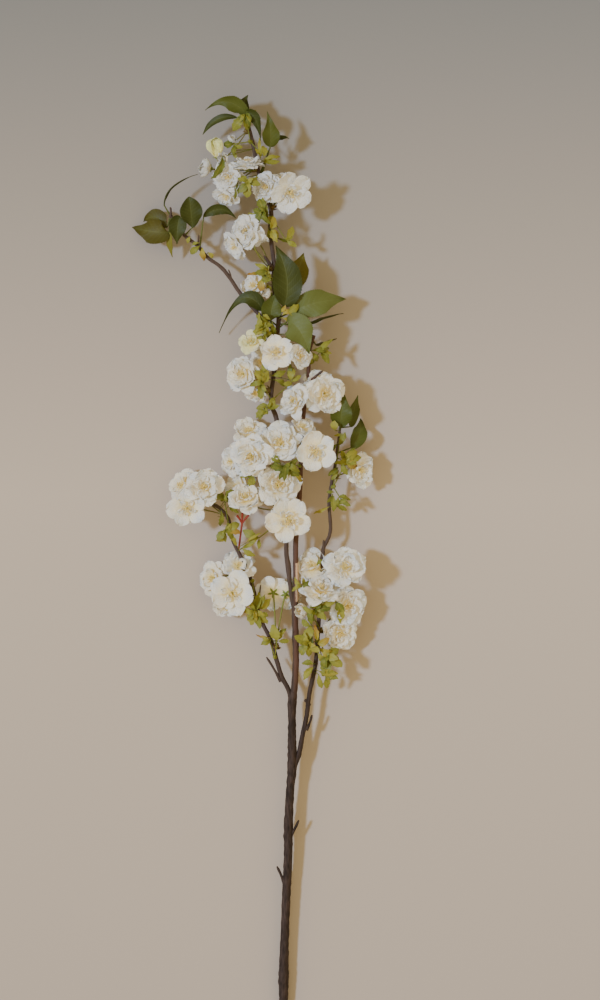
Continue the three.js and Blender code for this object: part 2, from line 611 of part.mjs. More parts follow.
BUNCHES.forEach((bunch, b) => {
  const { root, solid } = budOf(bunch, bunch.leafY ?? bunch.y - LEAFLETS_BELOW, bunch.whorls);
  addClear(`leaflets_${bunch.name}`, (grow) => join([
    solid(grow),
    ...bunch.whorls.flatMap((row, i) => whorl(row, WHORL_SEED + b * SEED_STEP + i, root, grow)),
  ]), LIME);
});

const box = new THREE.Box3().setFromObject(sprig);
const centre = box.getCenter(new THREE.Vector3());
sprig.position.set(-centre.x, -centre.y, -box.min.z);
sprig.updateMatrixWorld(true);

export default sprig;
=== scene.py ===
"""Cherry blossom sprig: the looks of a long flowering spray that lies on a table.

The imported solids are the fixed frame. Each class below makes one kind of piece (the wood, the
blooms, the stalks, the lime leaflets and the large leaves) in the sprig's own millimetres:
+X is across the sprig, +Y runs from the cut end to the tip, +Z is up and the table is at the
bottom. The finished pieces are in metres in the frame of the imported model.
"""

from __future__ import annotations

import logging
import math
from dataclasses import dataclass, field
from enum import Enum
from typing import Iterable, Sequence

import bpy
import numpy as np
from mathutils import Matrix, Quaternion, Vector, noise

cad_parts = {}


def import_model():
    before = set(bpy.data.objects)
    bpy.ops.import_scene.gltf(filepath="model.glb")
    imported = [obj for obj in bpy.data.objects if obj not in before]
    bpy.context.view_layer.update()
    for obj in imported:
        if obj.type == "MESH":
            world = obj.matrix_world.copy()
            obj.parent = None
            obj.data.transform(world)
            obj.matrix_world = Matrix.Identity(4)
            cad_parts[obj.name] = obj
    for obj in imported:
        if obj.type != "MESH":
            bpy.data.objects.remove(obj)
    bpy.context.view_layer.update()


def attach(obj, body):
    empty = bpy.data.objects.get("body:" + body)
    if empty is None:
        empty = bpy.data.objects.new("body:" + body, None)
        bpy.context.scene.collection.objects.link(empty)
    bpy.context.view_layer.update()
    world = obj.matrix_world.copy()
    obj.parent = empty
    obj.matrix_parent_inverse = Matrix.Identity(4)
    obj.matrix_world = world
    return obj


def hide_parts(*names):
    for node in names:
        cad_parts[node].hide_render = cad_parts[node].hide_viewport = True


LOG = logging.getLogger("sprig")

MM = 0.001
BODY = "root"
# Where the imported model's origin lies in the sprig's own millimetres.
ORIGIN = Vector((-33.34, 521.03, 0.603))
BED = 6.0               # soft pieces lower than this bend flat against the table
SHARP_FROM = 55.0       # degrees between faces from which an edge stays sharp
BLOOM_DEPTH = 0.25      # how far a bloom's base lies behind its middle, in its radii
BUD_LIFT = 1.4          # how far the middle of a bud lies above the wood
LEAST_LEAN = 4.0        # the least height that a bud leans towards
# The box that every piece keeps to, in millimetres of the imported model's frame.
LOWEST_CORNER = (-127.1, -521.1, 0.0)
HIGHEST_CORNER = (127.1, 521.1, 64.2)
UP = Vector((0.0, 0.0, 1.0))

Row = Sequence[float]
Bloom = Sequence["float | BloomKind"]
Grid = list[list[Vector]]
Object = bpy.types.Object
Material = bpy.types.Material
Link = bpy.types.NodeSocket

# --- the sprig's layout

# Each limb is a list of [x, y, z, radius] from its thick end to its tip.
LIMBS: dict[str, list[Row]] = {
    "stem": [
        [-1, 0, 5.6, 5.0], [0, 90, 8.5, 4.8], [0, 112, 9.5, 5.7], [1, 144, 11, 4.5],
        [3, 200, 13, 4.6], [5, 245, 15, 4.5], [5, 268, 16, 5.1], [7, 310, 18, 4.3],
        [9, 334, 19, 5.2], [9, 363, 20.5, 4.5], [9, 383, 21.5, 4.0], [9, 402, 22.5, 4.9],
        [11, 414, 23, 3.7], [13, 447, 24.5, 3.4], [12, 489, 26.5, 3.3], [12, 508, 27.5, 3.2],
    ],
    "leader": [
        [12, 497, 27, 2.7], [9, 512, 28, 2.5], [6, 533, 29, 2.4], [5, 545, 29.5, 2.9],
        [3, 559, 30, 2.4], [3, 575, 30, 2.4], [-2, 615, 30, 2.4], [-6, 657, 30, 2.4],
        [-9, 687, 30, 2.3], [-7, 698, 30, 2.6], [-13, 718, 30, 2.3], [-10, 748, 30, 2.3],
        [-6, 794, 30, 2.3], [-5, 812, 30, 2.6], [-10, 838, 29, 2.3], [-10, 862, 29, 2.3],
        [-14, 898, 30, 2.2], [-13, 917, 30, 2.4], [-17, 933, 30, 2.2], [-25, 955, 31, 2.1],
        [-33, 993, 32, 2.0], [-39, 1017, 33, 1.5],
    ],
    "right_leader": [
        [12, 497, 27, 3.0], [13, 520, 28, 3.0], [13, 572, 29, 2.8], [17, 618, 29, 2.4],
        [18, 646, 29, 2.2], [21, 704, 29, 2.2], [26, 746, 29, 2.1], [27, 770, 29, 2.0],
        [32, 788, 29, 1.8],
    ],
    "left_branch": [
        [10, 394, 22, 2.6], [5, 416, 22.5, 2.5], [-1, 427, 23, 2.5], [-8, 449, 23.5, 2.4],
        [-13, 467, 24, 2.3], [-24, 489, 25, 2.2], [-28, 504, 25, 2.2], [-33, 526, 25, 2.1],
        [-39, 544, 25, 2.1], [-53, 572, 25, 2.0], [-59, 597, 25, 2.0], [-71, 609, 25, 1.9],
        [-80, 612, 25.5, 1.3],
    ],
    "right_branch": [
        [9, 328, 19, 2.9], [16, 347, 20, 2.7], [19, 363, 20.5, 2.6], [24, 386, 21, 2.5],
        [27, 410, 21.5, 2.4], [34, 445, 23, 2.3], [36, 475, 24, 2.3], [38, 497, 24.5, 2.2],
        [41, 538, 25, 2.2], [41, 561, 25, 2.0], [49, 581, 25, 1.8], [48, 614, 25, 1.8],
        [55, 657, 25, 1.7], [60, 694, 25, 1.3],
    ],
    "upper_branch": [
        [-6, 789, 30, 2.3], [-20, 804, 29, 2.1], [-43, 829, 28, 2.0], [-64, 858, 26, 2.1],
        [-81, 871, 25, 1.9], [-90, 882, 24.5, 2.0], [-105, 894, 24, 1.8], [-119, 915, 23.5, 1.6],
    ],
}

# Short side growths: (from, to, radius at the foot).
SPURS: list[tuple[Row, Row, float]] = [
    ([2, 207, 13], [-7, 229, 15], 2.2),
    ([5, 257, 16], [16, 278, 18], 2.2),
    ([-12, 858, 30], [-20.5, 871, 36], 2.6),
    ([17, 620, 29], [-1, 616, 35], 1.5),
    ([27, 738, 29], [41, 750, 42], 2.2),
    ([-3, 424, 23], [-18, 450, 26], 1.9),
    ([-28, 504, 25], [-24, 526, 28], 1.2),
    ([-33, 527, 25], [-41, 517, 27], 1.2),
    ([24, 373, 21], [30, 389, 23], 1.9),
    ([27, 399, 21], [22, 405, 23], 2.4),
    ([-64, 859, 26], [-55, 846, 28], 1.4),
    ([-91, 881, 24], [-89, 893, 32], 1.6),
    ([41, 557, 25], [42, 573, 26], 2.1),
    ([-55.5, 849, 27], [-58, 857, 30], 1.2),
    ([-119, 912, 23.5], [-119, 923, 25], 1.8),
    ([-80, 612, 25.5], [-84, 622, 33], 1.2),
]


@dataclass(frozen=True)
class Ring:
    """One ring of petals. Lengths are in bloom radii and angles in degrees."""

    count: int
    length: float
    start: float
    rise: float
    turn: float
    kinds: tuple[int, ...]      # the petal shapes that it draws from
    width: float = 1.0          # the petals' width, as a share of their shape's own


class BloomKind(Enum):
    """How a bloom is open, with its rings of petals from the outside in."""

    LIME = (
        Ring(5, 1.02, 0.06, 14, 0, (1, 2), 0.95),
        Ring(5, 0.62, 0.10, 36, 30, (2, 3), 0.9),
        Ring(4, 0.40, 0.10, 58, 10, (4, 3), 0.9),
    )
    CLEAR = (
        Ring(5, 0.80, 0.05, 6, 36, (0, 1), 0.95),
        Ring(5, 1.06, 0.06, 14, 0, (1, 2), 0.95),
        Ring(5, 0.50, 0.10, 40, 24, (3, 4), 0.8),
        Ring(3, 0.34, 0.08, 62, 60, (4, 3), 0.8),
    )
    FULL = (
        Ring(5, 1.10, 0.05, 6, 36, (0, 1), 0.94),
        Ring(5, 0.98, 0.07, 18, 0, (2, 1), 0.94),
        Ring(5, 0.82, 0.10, 30, 20, (2, 3), 0.95),
        Ring(5, 0.62, 0.12, 44, 50, (3, 4), 0.9),
        Ring(4, 0.44, 0.10, 62, 10, (4, 3), 0.9),
    )
    BACK = (
        Ring(5, 1.16, 0.05, 8, 36, (0, 1), 0.94),
        Ring(5, 0.98, 0.06, 24, 0, (2, 1), 0.94),
        Ring(5, 0.72, 0.10, 44, 20, (3, 4)),
    )
    BUD = (
        Ring(5, 1.05, 0.16, 40, 36, (5, 5)),
        Ring(5, 0.98, 0.12, 48, 0, (5, 5)),
        Ring(3, 0.80, 0.06, 62, 20, (5, 5)),
    )
    GREEN = (
        Ring(5, 1.75, 0.20, 68, 36, (5, 5), 0.72),
        Ring(5, 1.65, 0.16, 72, 0, (5, 5), 0.72),
        Ring(4, 1.45, 0.06, 78, 20, (5, 5), 0.72),
    )


@dataclass(frozen=True)
class Bunch:
    """One bunch: its place on a limb, its blooms and its whorls of leaflets.

    A bloom is [x, y, z, radius, lean direction, lean, kind]. A whorl is [x, y, z, leaflets,
    leaflet length, first direction, sweep], and after these it may give its own tone, from 0,
    green, to 1, yellow. Angles are in degrees.
    """

    name: str
    limb: str
    y: float
    blooms: list[Bloom]
    whorls: list[Row]
    leaf_y: float | None = None


LIME, CLEAR, FULL, BACK, BUD, GREEN = BloomKind
# How warm a kind's petals are, where 0 is white, 1 is cream and 2 is green.
WARMTH: dict[BloomKind, float] = {BUD: 0.7, GREEN: 1.7, LIME: 1.0}

BUNCHES: list[Bunch] = [
    Bunch("tip", "leader", 1002,
          [[-70, 978, 36, 12, 98, 72, GREEN], [-55, 993, 28, 7, 60, 60, BUD]],
          [[-40, 1019, 38, 5, 15, 190, 90, 0.0], [-52, 988, 40, 3, 11, 200, 130],
           [-22, 976, 38, 3, 9, 60, 70]]),
    Bunch("high", "leader", 962,
          [[-38, 967, 44, 17, 90, 70, FULL], [-58, 952, 46, 16, 210, 12, FULL],
           [-60, 934, 36, 14, 240, 50, BACK], [-63, 971, 42, 9, 120, 30, BUD],
           [-80, 964, 26, 12, 170, 60, BUD]],
          [[-36, 946, 50, 5, 12, 210, 270, 0.1]]),
    Bunch("upper", "leader", 922,
          [[-18, 942, 44, 16, 190, 20, FULL], [7, 936, 52, 21, 285, 26, CLEAR],
           [-4, 950, 32, 13, 90, 50, BACK]],
          [[-20, 917, 44, 4, 14, 100, 200], [-12, 898, 40, 3, 12, 280, 140],
           [2, 888, 40, 3, 12, 330, 80]]),
    Bunch("upper_left", "leader", 858,
          [[-39, 896, 42, 18, 180, 32, FULL], [-30, 890, 42, 13, 75, 118, FULL],
           [-51, 882, 30, 15, 215, 55, BACK]],
          [[-17, 855, 40, 4, 12, 140, 170]]),
    Bunch("side", "leader", 826,
          [[-32, 841, 22, 15, 150, 45, BACK], [-15.5, 831, 38, 7, 150, 50, BUD]],
          [[5, 812, 42, 3, 13, 330, 90]]),
    Bunch("middle", "leader", 788,
          [[-35, 781, 42, 14, 130, 30, LIME], [-8, 770, 50, 18, 100, 14, CLEAR],
           [18, 766, 44, 13, 10, 35, FULL], [-22, 761, 24, 15, 200, 40, BACK]],
          [[-21, 797, 46, 6, 12, 80, 300, 0.35], [-20, 789, 42, 5, 11, 160, 220, 0.4],
           [5, 787, 38, 2, 10, 330, 80]]),
    Bunch("middle_left", "leader", 730,
          [[-44, 747, 42, 18, 180, 30, FULL], [-30, 727, 34, 12, 250, 50, BACK]],
          [[-22, 737, 50, 4, 14, 60, 190], [-18, 711, 42, 4, 12, 230, 200],
           [8, 738, 44, 3, 14, 20, 130]]),
    Bunch("middle_right", "right_leader", 738,
          [[11, 719, 46, 18, 160, 40, FULL], [44, 726, 48, 20, 350, 20, FULL],
           [38, 739, 32, 15, 70, 40, BACK]],
          [[39, 771, 34, 3, 14, 300, 120]], leaf_y=760),
    Bunch("heart_left", "leader", 668,
          [[-34, 661, 50, 22, 200, 18, FULL], [-36, 688, 24, 16, 100, 40, BACK],
           [-55, 656, 28, 15, 180, 50, BACK]],
          [[-34, 643, 42, 3, 12, 150, 120]]),
    Bunch("heart_right", "right_leader", 662,
          [[-4, 675, 46, 22, 110, 25, FULL], [34, 665, 54, 22, 300, 8, CLEAR],
           [20, 692, 34, 13, 80, 45, BACK]],
          [[3, 651, 56, 4, 14, 170, 190]]),
    Bunch("low_heart", "leader", 604,
          [[-5, 631, 46, 21, 45, 14, FULL], [5, 594, 54, 24, 280, 8, CLEAR],
           [-47, 630, 30, 16, 170, 30, BACK], [-40, 618, 44, 19, 95, 38, FULL]],
          [[-26, 575, 36, 3, 14, 160, 120]]),
    Bunch("far_left", "left_branch", 600,
          [[-83, 629, 44, 20, 90, 10, FULL], [-101, 606, 42, 20, 240, 10, CLEAR],
           [-107, 631, 24, 16, 150, 45, BACK]],
          [[-62, 616, 38, 4, 14, 340, 190], [-60, 584, 36, 4, 14, 200, 200]]),
    Bunch("lower_left", "left_branch", 541,
          [[-54, 517, 48, 23, 250, 8, CLEAR], [-48, 546, 26, 17, 90, 35, BACK],
           [-75, 533, 22, 17, 180, 40, BACK], [-61, 503, 30, 14, 260, 45, BACK]],
          [[-28, 500, 40, 5, 16, 20, 290]]),
    Bunch("lower_stalk", "left_branch", 461,
          [[-11, 519, 21, 17, 100, 158, BACK], [3, 517, 20, 15, 60, 158, BACK]],
          [[-6, 474, 36, 3, 9, 40, 100], [-15, 468, 34, 2, 9, 160, 50]]),
    Bunch("lower_right", "right_branch", 540,
          [[65, 545, 46, 21, 60, 18, FULL], [40, 521, 44, 20, 85, 52, FULL],
           [30, 546, 24, 19, 120, 35, BACK]],
          [[34, 500, 48, 5, 16, 20, 280], [20, 524, 38, 3, 12, 80, 120]]),
    Bunch("low_right", "right_branch", 478,
          [[67, 504, 36, 20, 0, 22, FULL], [60, 475, 28, 18, 300, 25, FULL],
           [21, 498, 36, 11, 170, 40, BUD]],
          [[26, 465, 40, 5, 16, 100, 230], [46, 452, 34, 4, 15, 250, 160],
           [44, 431, 30, 4, 15, 280, 170]]),
    Bunch("far_right", "right_branch", 640,
          [[82, 646, 28, 17, 350, 25, FULL]],
          [[66, 655, 38, 5, 16, 330, 200], [59, 618, 30, 3, 11, 270, 110],
           [60, 685, 36, 2, 10, 200, 80]]),
]


class Tone(Enum):
    """The colour of a large leaf, from dark green through glossy green to olive."""

    DARK = 0.0
    GREEN = 0.30
    BRIGHT = 0.55
    OLIVE = 0.80
    RIPE = 0.90
    YELLOW = 1.0


@dataclass(frozen=True)
class Leaf:
    """One large leaf. Its stalk runs from foot to base, and its blade from base by via to tip."""

    foot: Row
    base: Row
    via: Row
    tip: Row
    width: float
    face: float         # degrees that the blade is turned about its own run
    tone: Tone
    slim: float = 0.0   # how early it narrows to a drawn-out tip


LEAVES: dict[str, Leaf] = {
    "tip_long": Leaf([-39, 1015, 33], [-38, 1019, 37], [-60, 1043, 48], [-82, 1024, 34],
                     16, -15, Tone.GREEN, 0.8),
    "tip_short": Leaf([-39, 1014, 33], [-40, 1016, 33], [-46, 1030, 34], [-37, 1040, 33],
                      12, 10, Tone.DARK),
    "tip_right": Leaf([-39, 1014, 33], [-38, 1022, 40], [-26, 1018, 46], [-24, 992, 32],
                      12, 25, Tone.DARK, 0.5),
    "tip_left": Leaf([-38, 1011, 33], [-48, 1016, 34], [-72, 1021, 36], [-85, 999, 24],
                     8, 20, Tone.DARK, -0.6),
    "high_right": Leaf([-24, 952, 31], [-14, 985, 38], [-12, 1002, 46], [-17, 1022, 42],
                       18, 15, Tone.GREEN, 0.65),
    "high_edge": Leaf([-25, 956, 31], [-11, 993, 32], [-4, 999, 36], [6, 994, 34],
                      10, 62, Tone.DARK),
    "wing_far": Leaf([-118, 911, 24], [-121, 896, 24], [-140, 896, 28], [-160, 903, 3],
                     25, 0, Tone.OLIVE, 0.3),
    "wing_back": Leaf([-119, 914, 23], [-122, 903, 20], [-136, 920, 22], [-148, 909, 4],
                      17, 0, Tone.OLIVE),
    "wing_down": Leaf([-110, 901, 24], [-109, 913, 32], [-112, 902, 36], [-112, 884, 28],
                      18, 0, Tone.DARK),
    "wing_broad": Leaf([-104, 893, 24], [-96, 901, 30], [-97, 920, 38], [-99, 933, 38],
                       23, 10, Tone.DARK, -1.2),
    "wing_right": Leaf([-88, 880, 25], [-84, 912, 30], [-66, 929, 36], [-50, 911, 28],
                       11, 15, Tone.DARK),
    "wing_edge": Leaf([-119, 914, 23], [-125, 924, 28], [-126, 946, 36], [-90, 957, 30],
                      6, 80, Tone.DARK, 0.3),
    "wing_drop": Leaf([-113, 906, 24], [-119, 897, 24], [-121, 884, 26], [-117, 871, 14],
                      7, 30, Tone.YELLOW),
    "crown_broad": Leaf([-5, 812, 30], [1, 817, 42], [10, 848, 56], [-8, 881, 48],
                        30, 5, Tone.DARK),
    "crown_back": Leaf([-6, 808, 30], [9, 836, 34], [16, 856, 36], [21, 874, 32],
                       22, 10, Tone.RIPE),
    "crown_right": Leaf([-5, 806, 30], [11, 814, 40], [36, 824, 52], [65, 826, 32],
                        27, 0, Tone.BRIGHT, 0.1),
    "crown_left": Leaf([-7, 798, 30], [-13, 803, 38], [-14, 816, 42], [-7, 832, 42],
                       21, 0, Tone.GREEN),
    "crown_low": Leaf([-6, 795, 30], [5, 803, 42], [20, 796, 54], [27, 768, 44],
                      29, 5, Tone.BRIGHT, 0.15),
    "crown_edge": Leaf([-6, 800, 30], [22, 798, 30], [40, 808, 30], [63, 811, 24],
                       9, 75, Tone.DARK, 0.5),
    "crown_thin": Leaf([30, 784, 29], [34, 778, 26], [44, 781, 26], [56, 785, 18],
                       8, 70, Tone.OLIVE),
    "crown_droop": Leaf([-7, 792, 30], [-21, 814, 34], [-44, 849, 40], [-68, 791, 14],
                        17, 10, Tone.DARK, 1.25),
    "end_broad": Leaf([59, 688, 25], [60, 692, 34], [60, 708, 44], [64, 725, 40],
                      22, 0, Tone.GREEN),
    "end_side": Leaf([59, 691, 25], [70, 692, 26], [74, 708, 30], [78, 725, 26],
                     12, 20, Tone.GREEN),
    "end_right": Leaf([56, 664, 25], [71, 670, 26], [84, 684, 30], [81, 701, 4],
                      16, 10, Tone.GREEN),
}

# The single leaflets along the wood: (foot x, y, z, tip x, y, z, width, tone). The tone runs from
# 0, green, to 1, yellow with a rusty tip.
SPROUTS: list[Row] = [
    (-33, 1014, 36, -29, 1023, 40, 3.7, 0.35), (-53, 981, 38, -49, 971, 40, 4.2, 0.5),
    (-64, 974, 48, -70, 951, 52, 7.4, 0.05), (-48, 951, 46, -51, 930, 44, 4.7, 0.15),
    (-39, 959, 44, -46, 968, 46, 4.2, 0.4), (-24, 972, 36, -25, 994, 40, 4.2, 0.6),
    (-22, 971, 37, -4, 976, 38, 4.7, 0.5), (-22, 970, 36, -4, 968, 34, 5.2, 0.45),
    (-17, 910, 40, -20, 932, 46, 6.3, 0.3), (-23, 912, 40, -37, 916, 40, 5.2, 0.45),
    (-23, 911, 38, -36, 908, 38, 4.2, 0.85), (-16, 912, 40, -10, 900, 42, 6.3, 0.9),
    (-11, 898, 38, -5, 890, 40, 5.2, 0.5), (-7, 890, 38, 11, 885, 30, 3.4, 0.25),
    (-16, 900, 38, -15, 889, 38, 4.2, 0.4), (-88, 882, 30, -98, 872, 26, 7.4, 0.3),
    (-85, 880, 30, -83, 867, 30, 6.3, 0.9), (-79, 875, 30, -74, 869, 30, 4.2, 0.7),
    (-89, 885, 30, -96, 884, 28, 4.2, 0.4), (-98, 892, 28, -102, 885, 26, 4.2, 0.5),
    (-22, 850, 40, -13, 859, 42, 5.2, 0.55), (-23, 847, 40, -14, 844, 40, 6.3, 0.35),
    (-22, 847, 39, -25, 834, 39, 9.0, 0.95), (-23, 851, 38, -39, 852, 40, 4.2, 1.0),
    (-18, 842, 34, -13, 834, 34, 4.2, 0.6), (-1, 809, 42, 11, 814, 42, 6.3, 0.95),
    (-2, 806, 42, 9, 804, 38, 5.2, 0.8), (-2, 812, 43, 4, 818, 44, 4.2, 0.9),
    (-17, 802, 46, -31, 794, 40, 8.4, 0.45), (-16, 802, 46, -29, 806, 48, 6.3, 0.3),
    (-14, 802, 44, -23, 789, 42, 7.4, 0.65), (-12, 802, 42, -10, 787, 38, 6.3, 0.2),
    (-14, 804, 46, -22, 809, 46, 5.2, 0.5), (3, 789, 36, 7, 782, 36, 5.2, 0.4),
    (30, 772, 36, 48, 775, 36, 6.3, 0.2), (30, 770, 36, 38, 761, 32, 6.3, 0.35),
    (29, 767, 36, 28, 758, 32, 4.2, 0.4), (-18, 748, 46, -23, 756, 48, 5.2, 0.5),
    (-19, 745, 46, -34, 739, 44, 6.3, 0.9), (-20, 742, 44, -32, 733, 42, 5.2, 1.0),
    (-12, 745, 46, 3, 749, 46, 6.3, 0.3), (-10, 741, 46, 3, 735, 42, 6.3, 0.25),
    (6, 741, 40, 8, 757, 46, 5.2, 0.05), (-16, 714, 42, -29, 711, 40, 6.3, 0.35),
    (-17, 708, 42, -28, 699, 38, 6.3, 0.3), (-14, 712, 42, -8, 719, 44, 4.2, 0.5),
    (-3, 653, 54, -13, 662, 56, 7.4, 0.2), (-2, 651, 54, -14, 651, 52, 6.3, 0.3),
    (3, 651, 56, 15, 655, 54, 7.4, 0.15), (4, 649, 56, 16, 639, 52, 7.4, 0.1),
    (11, 642, 52, 20, 635, 48, 6.3, 0.8), (-27, 640, 42, -50, 645, 40, 4.2, 0.3),
    (-33, 640, 42, -23, 646, 44, 4.2, 0.4), (-61, 615, 38, -68, 617, 34, 6.3, 0.25),
    (-59, 614, 38, -50, 617, 40, 6.3, 0.3), (-57, 609, 36, -49, 600, 36, 6.3, 0.35),
    (-65, 604, 34, -66, 587, 30, 6.3, 0.3), (-61, 587, 36, -46, 579, 40, 7.4, 0.95),
    (-64, 582, 36, -68, 568, 28, 7.4, 0.7), (-58, 582, 34, -49, 568, 36, 5.2, 0.6),
    (-43, 565, 34, -29, 570, 40, 4.2, 0.45), (-43, 564, 34, -31, 556, 34, 6.3, 0.5),
    (-39, 570, 36, -25, 580, 44, 3.2, 0.7), (-28, 501, 42, -18, 517, 46, 5.2, 0.3),
    (-30, 498, 42, -48, 502, 38, 5.2, 1.0), (-31, 496, 42, -37, 487, 38, 5.2, 0.4),
    (-26, 497, 42, -16, 493, 40, 6.3, 0.35), (-27, 495, 40, -26, 480, 38, 6.3, 0.3),
    (-29, 504, 42, -35, 510, 44, 4.2, 0.6), (-7, 468, 36, -7, 485, 42, 11.6, 0.55),
    (-7, 468, 36, 2, 478, 40, 4.2, 0.6), (-13, 468, 34, -24, 465, 32, 6.3, 0.4),
    (-14, 470, 34, -29, 473, 34, 2.7, 1.0), (-5, 467, 34, 6, 466, 32, 5.2, 0.45),
    (20, 523, 40, 27, 529, 44, 6.3, 0.1), (20, 520, 38, 16, 528, 40, 4.2, 0.2),
    (30, 497, 48, 26, 487, 44, 7.4, 0.3), (32, 502, 48, 28, 507, 50, 6.3, 0.35),
    (38, 504, 48, 56, 510, 50, 7.4, 0.55), (56, 508, 48, 61, 497, 44, 9.5, 0.15),
    (60, 504, 46, 57, 487, 38, 8.4, 0.6), (29, 483, 42, 19, 488, 42, 7.4, 0.3),
    (29, 478, 42, 18, 468, 36, 7.4, 0.2), (30, 474, 40, 25, 452, 34, 8.4, 0.0),
    (35, 468, 40, 34, 485, 44, 5.2, 1.0), (36, 464, 38, 49, 468, 40, 8.4, 0.9),
    (38, 460, 36, 55, 452, 34, 9.5, 0.8), (36, 455, 34, 44, 445, 32, 7.4, 0.6),
    (31, 443, 34, 20, 445, 32, 6.3, 0.3), (31, 439, 34, 20, 428, 28, 7.4, 0.55),
    (38, 435, 32, 57, 431, 32, 7.4, 0.75), (37, 432, 32, 40, 417, 26, 6.3, 0.5),
    (43, 552, 34, 35, 547, 34, 4.2, 0.3), (44, 552, 34, 47, 545, 32, 4.2, 0.3),
    (53, 623, 32, 45, 624, 34, 4.2, 0.2), (52, 621, 30, 46, 612, 26, 5.2, 0.35),
    (53, 619, 32, 52, 603, 28, 6.3, 0.35), (56, 612, 32, 67, 613, 34, 5.2, 0.25),
    (57, 609, 32, 66, 603, 28, 5.2, 0.35), (48, 608, 32, 31, 601, 28, 3.6, 0.75),
    (62, 659, 40, 77, 665, 44, 9.5, 0.55), (64, 656, 40, 79, 651, 36, 9.5, 0.9),
    (61, 655, 40, 66, 641, 38, 6.3, 0.35), (57, 649, 34, 45, 642, 38, 5.2, 0.1),
    (58, 646, 34, 50, 636, 34, 4.2, 0.3), (58, 672, 36, 66, 685, 42, 6.3, 0.2),
    (57, 674, 36, 50, 666, 38, 4.2, 0.0), (39, 678, 38, 34, 687, 36, 5.2, 0.85),
    (54, 688, 36, 53, 697, 42, 8.4, 0.65),
]

# --- numbers and curves

def draw(seed: float, use: float) -> float:
    """A repeatable number from 0 to 1, for the seed of a piece and one use of it."""
    wave = math.sin(seed * 127.1 + use * 311.7) * 43758.5453
    return wave - math.floor(wave)


def settle(height: float) -> float:
    """Lifts a low height of a soft piece, so that it lies on the table."""
    return BED * math.exp((height - BED) / BED) if height < BED else height


def blend(low: float, high: float, share: float) -> float:
    """The value at a share of the way from low to high."""
    return low + (high - low) * share


def quadratic(start: Vector, via: Vector, end: Vector, t: float) -> Vector:
    """A point on a quadratic Bezier curve."""
    return start * (1 - t) ** 2 + via * (2 * t * (1 - t)) + end * t * t


@dataclass
class LimbCurve:
    """The axis of one limb: a smooth curve through its rows, with a radius."""

    rows: list[Row]

    def place(self, t: float) -> tuple[Vector, float]:
        """The point and the radius at a share of the limb's rows.

        Args:
            t: 0 at the thick end and 1 at the tip.

        Returns:
            The point on the axis and the radius there.
        """
        points = [Vector(row[:3]) for row in self.rows]
        last = len(points) - 1
        i = min(int(t * last), last - 1)
        share = t * last - i
        before = points[i - 1] if i else points[0] * 2 - points[1]
        after = points[i + 2] if i + 2 <= last else points[last] * 2 - points[last - 1]
        four = [before, points[i], points[i + 1], after]
        gaps = [math.sqrt((b - a).length) for a, b in zip(four, four[1:])]
        steps = [(b - a) for a, b in zip(four, four[1:])]
        leave = (steps[0] / gaps[0] - (four[2] - four[0]) / (gaps[0] + gaps[1])
                 + steps[1] / gaps[1]) * gaps[1]
        arrive = (steps[1] / gaps[1] - (four[3] - four[1]) / (gaps[1] + gaps[2])
                  + steps[2] / gaps[2]) * gaps[1]
        square = -3 * four[1] + 3 * four[2] - 2 * leave - arrive
        cube = 2 * four[1] - 2 * four[2] + leave + arrive
        point = four[1] + leave * share + square * share ** 2 + cube * share ** 3
        return point, blend(self.rows[i][3], self.rows[i + 1][3], share)

    def at_height(self, y: float) -> tuple[Vector, float]:
        """The point and the radius where the limb passes a height.

        Args:
            y: The height.

        Returns:
            The point on the axis and the radius there.
        """
        low, high = 0.0, 1.0
        for _ in range(30):
            middle = (low + high) / 2
            low, high = (middle, high) if self.place(middle)[0].y < y else (low, middle)
        return self.place(low)


# --- meshes

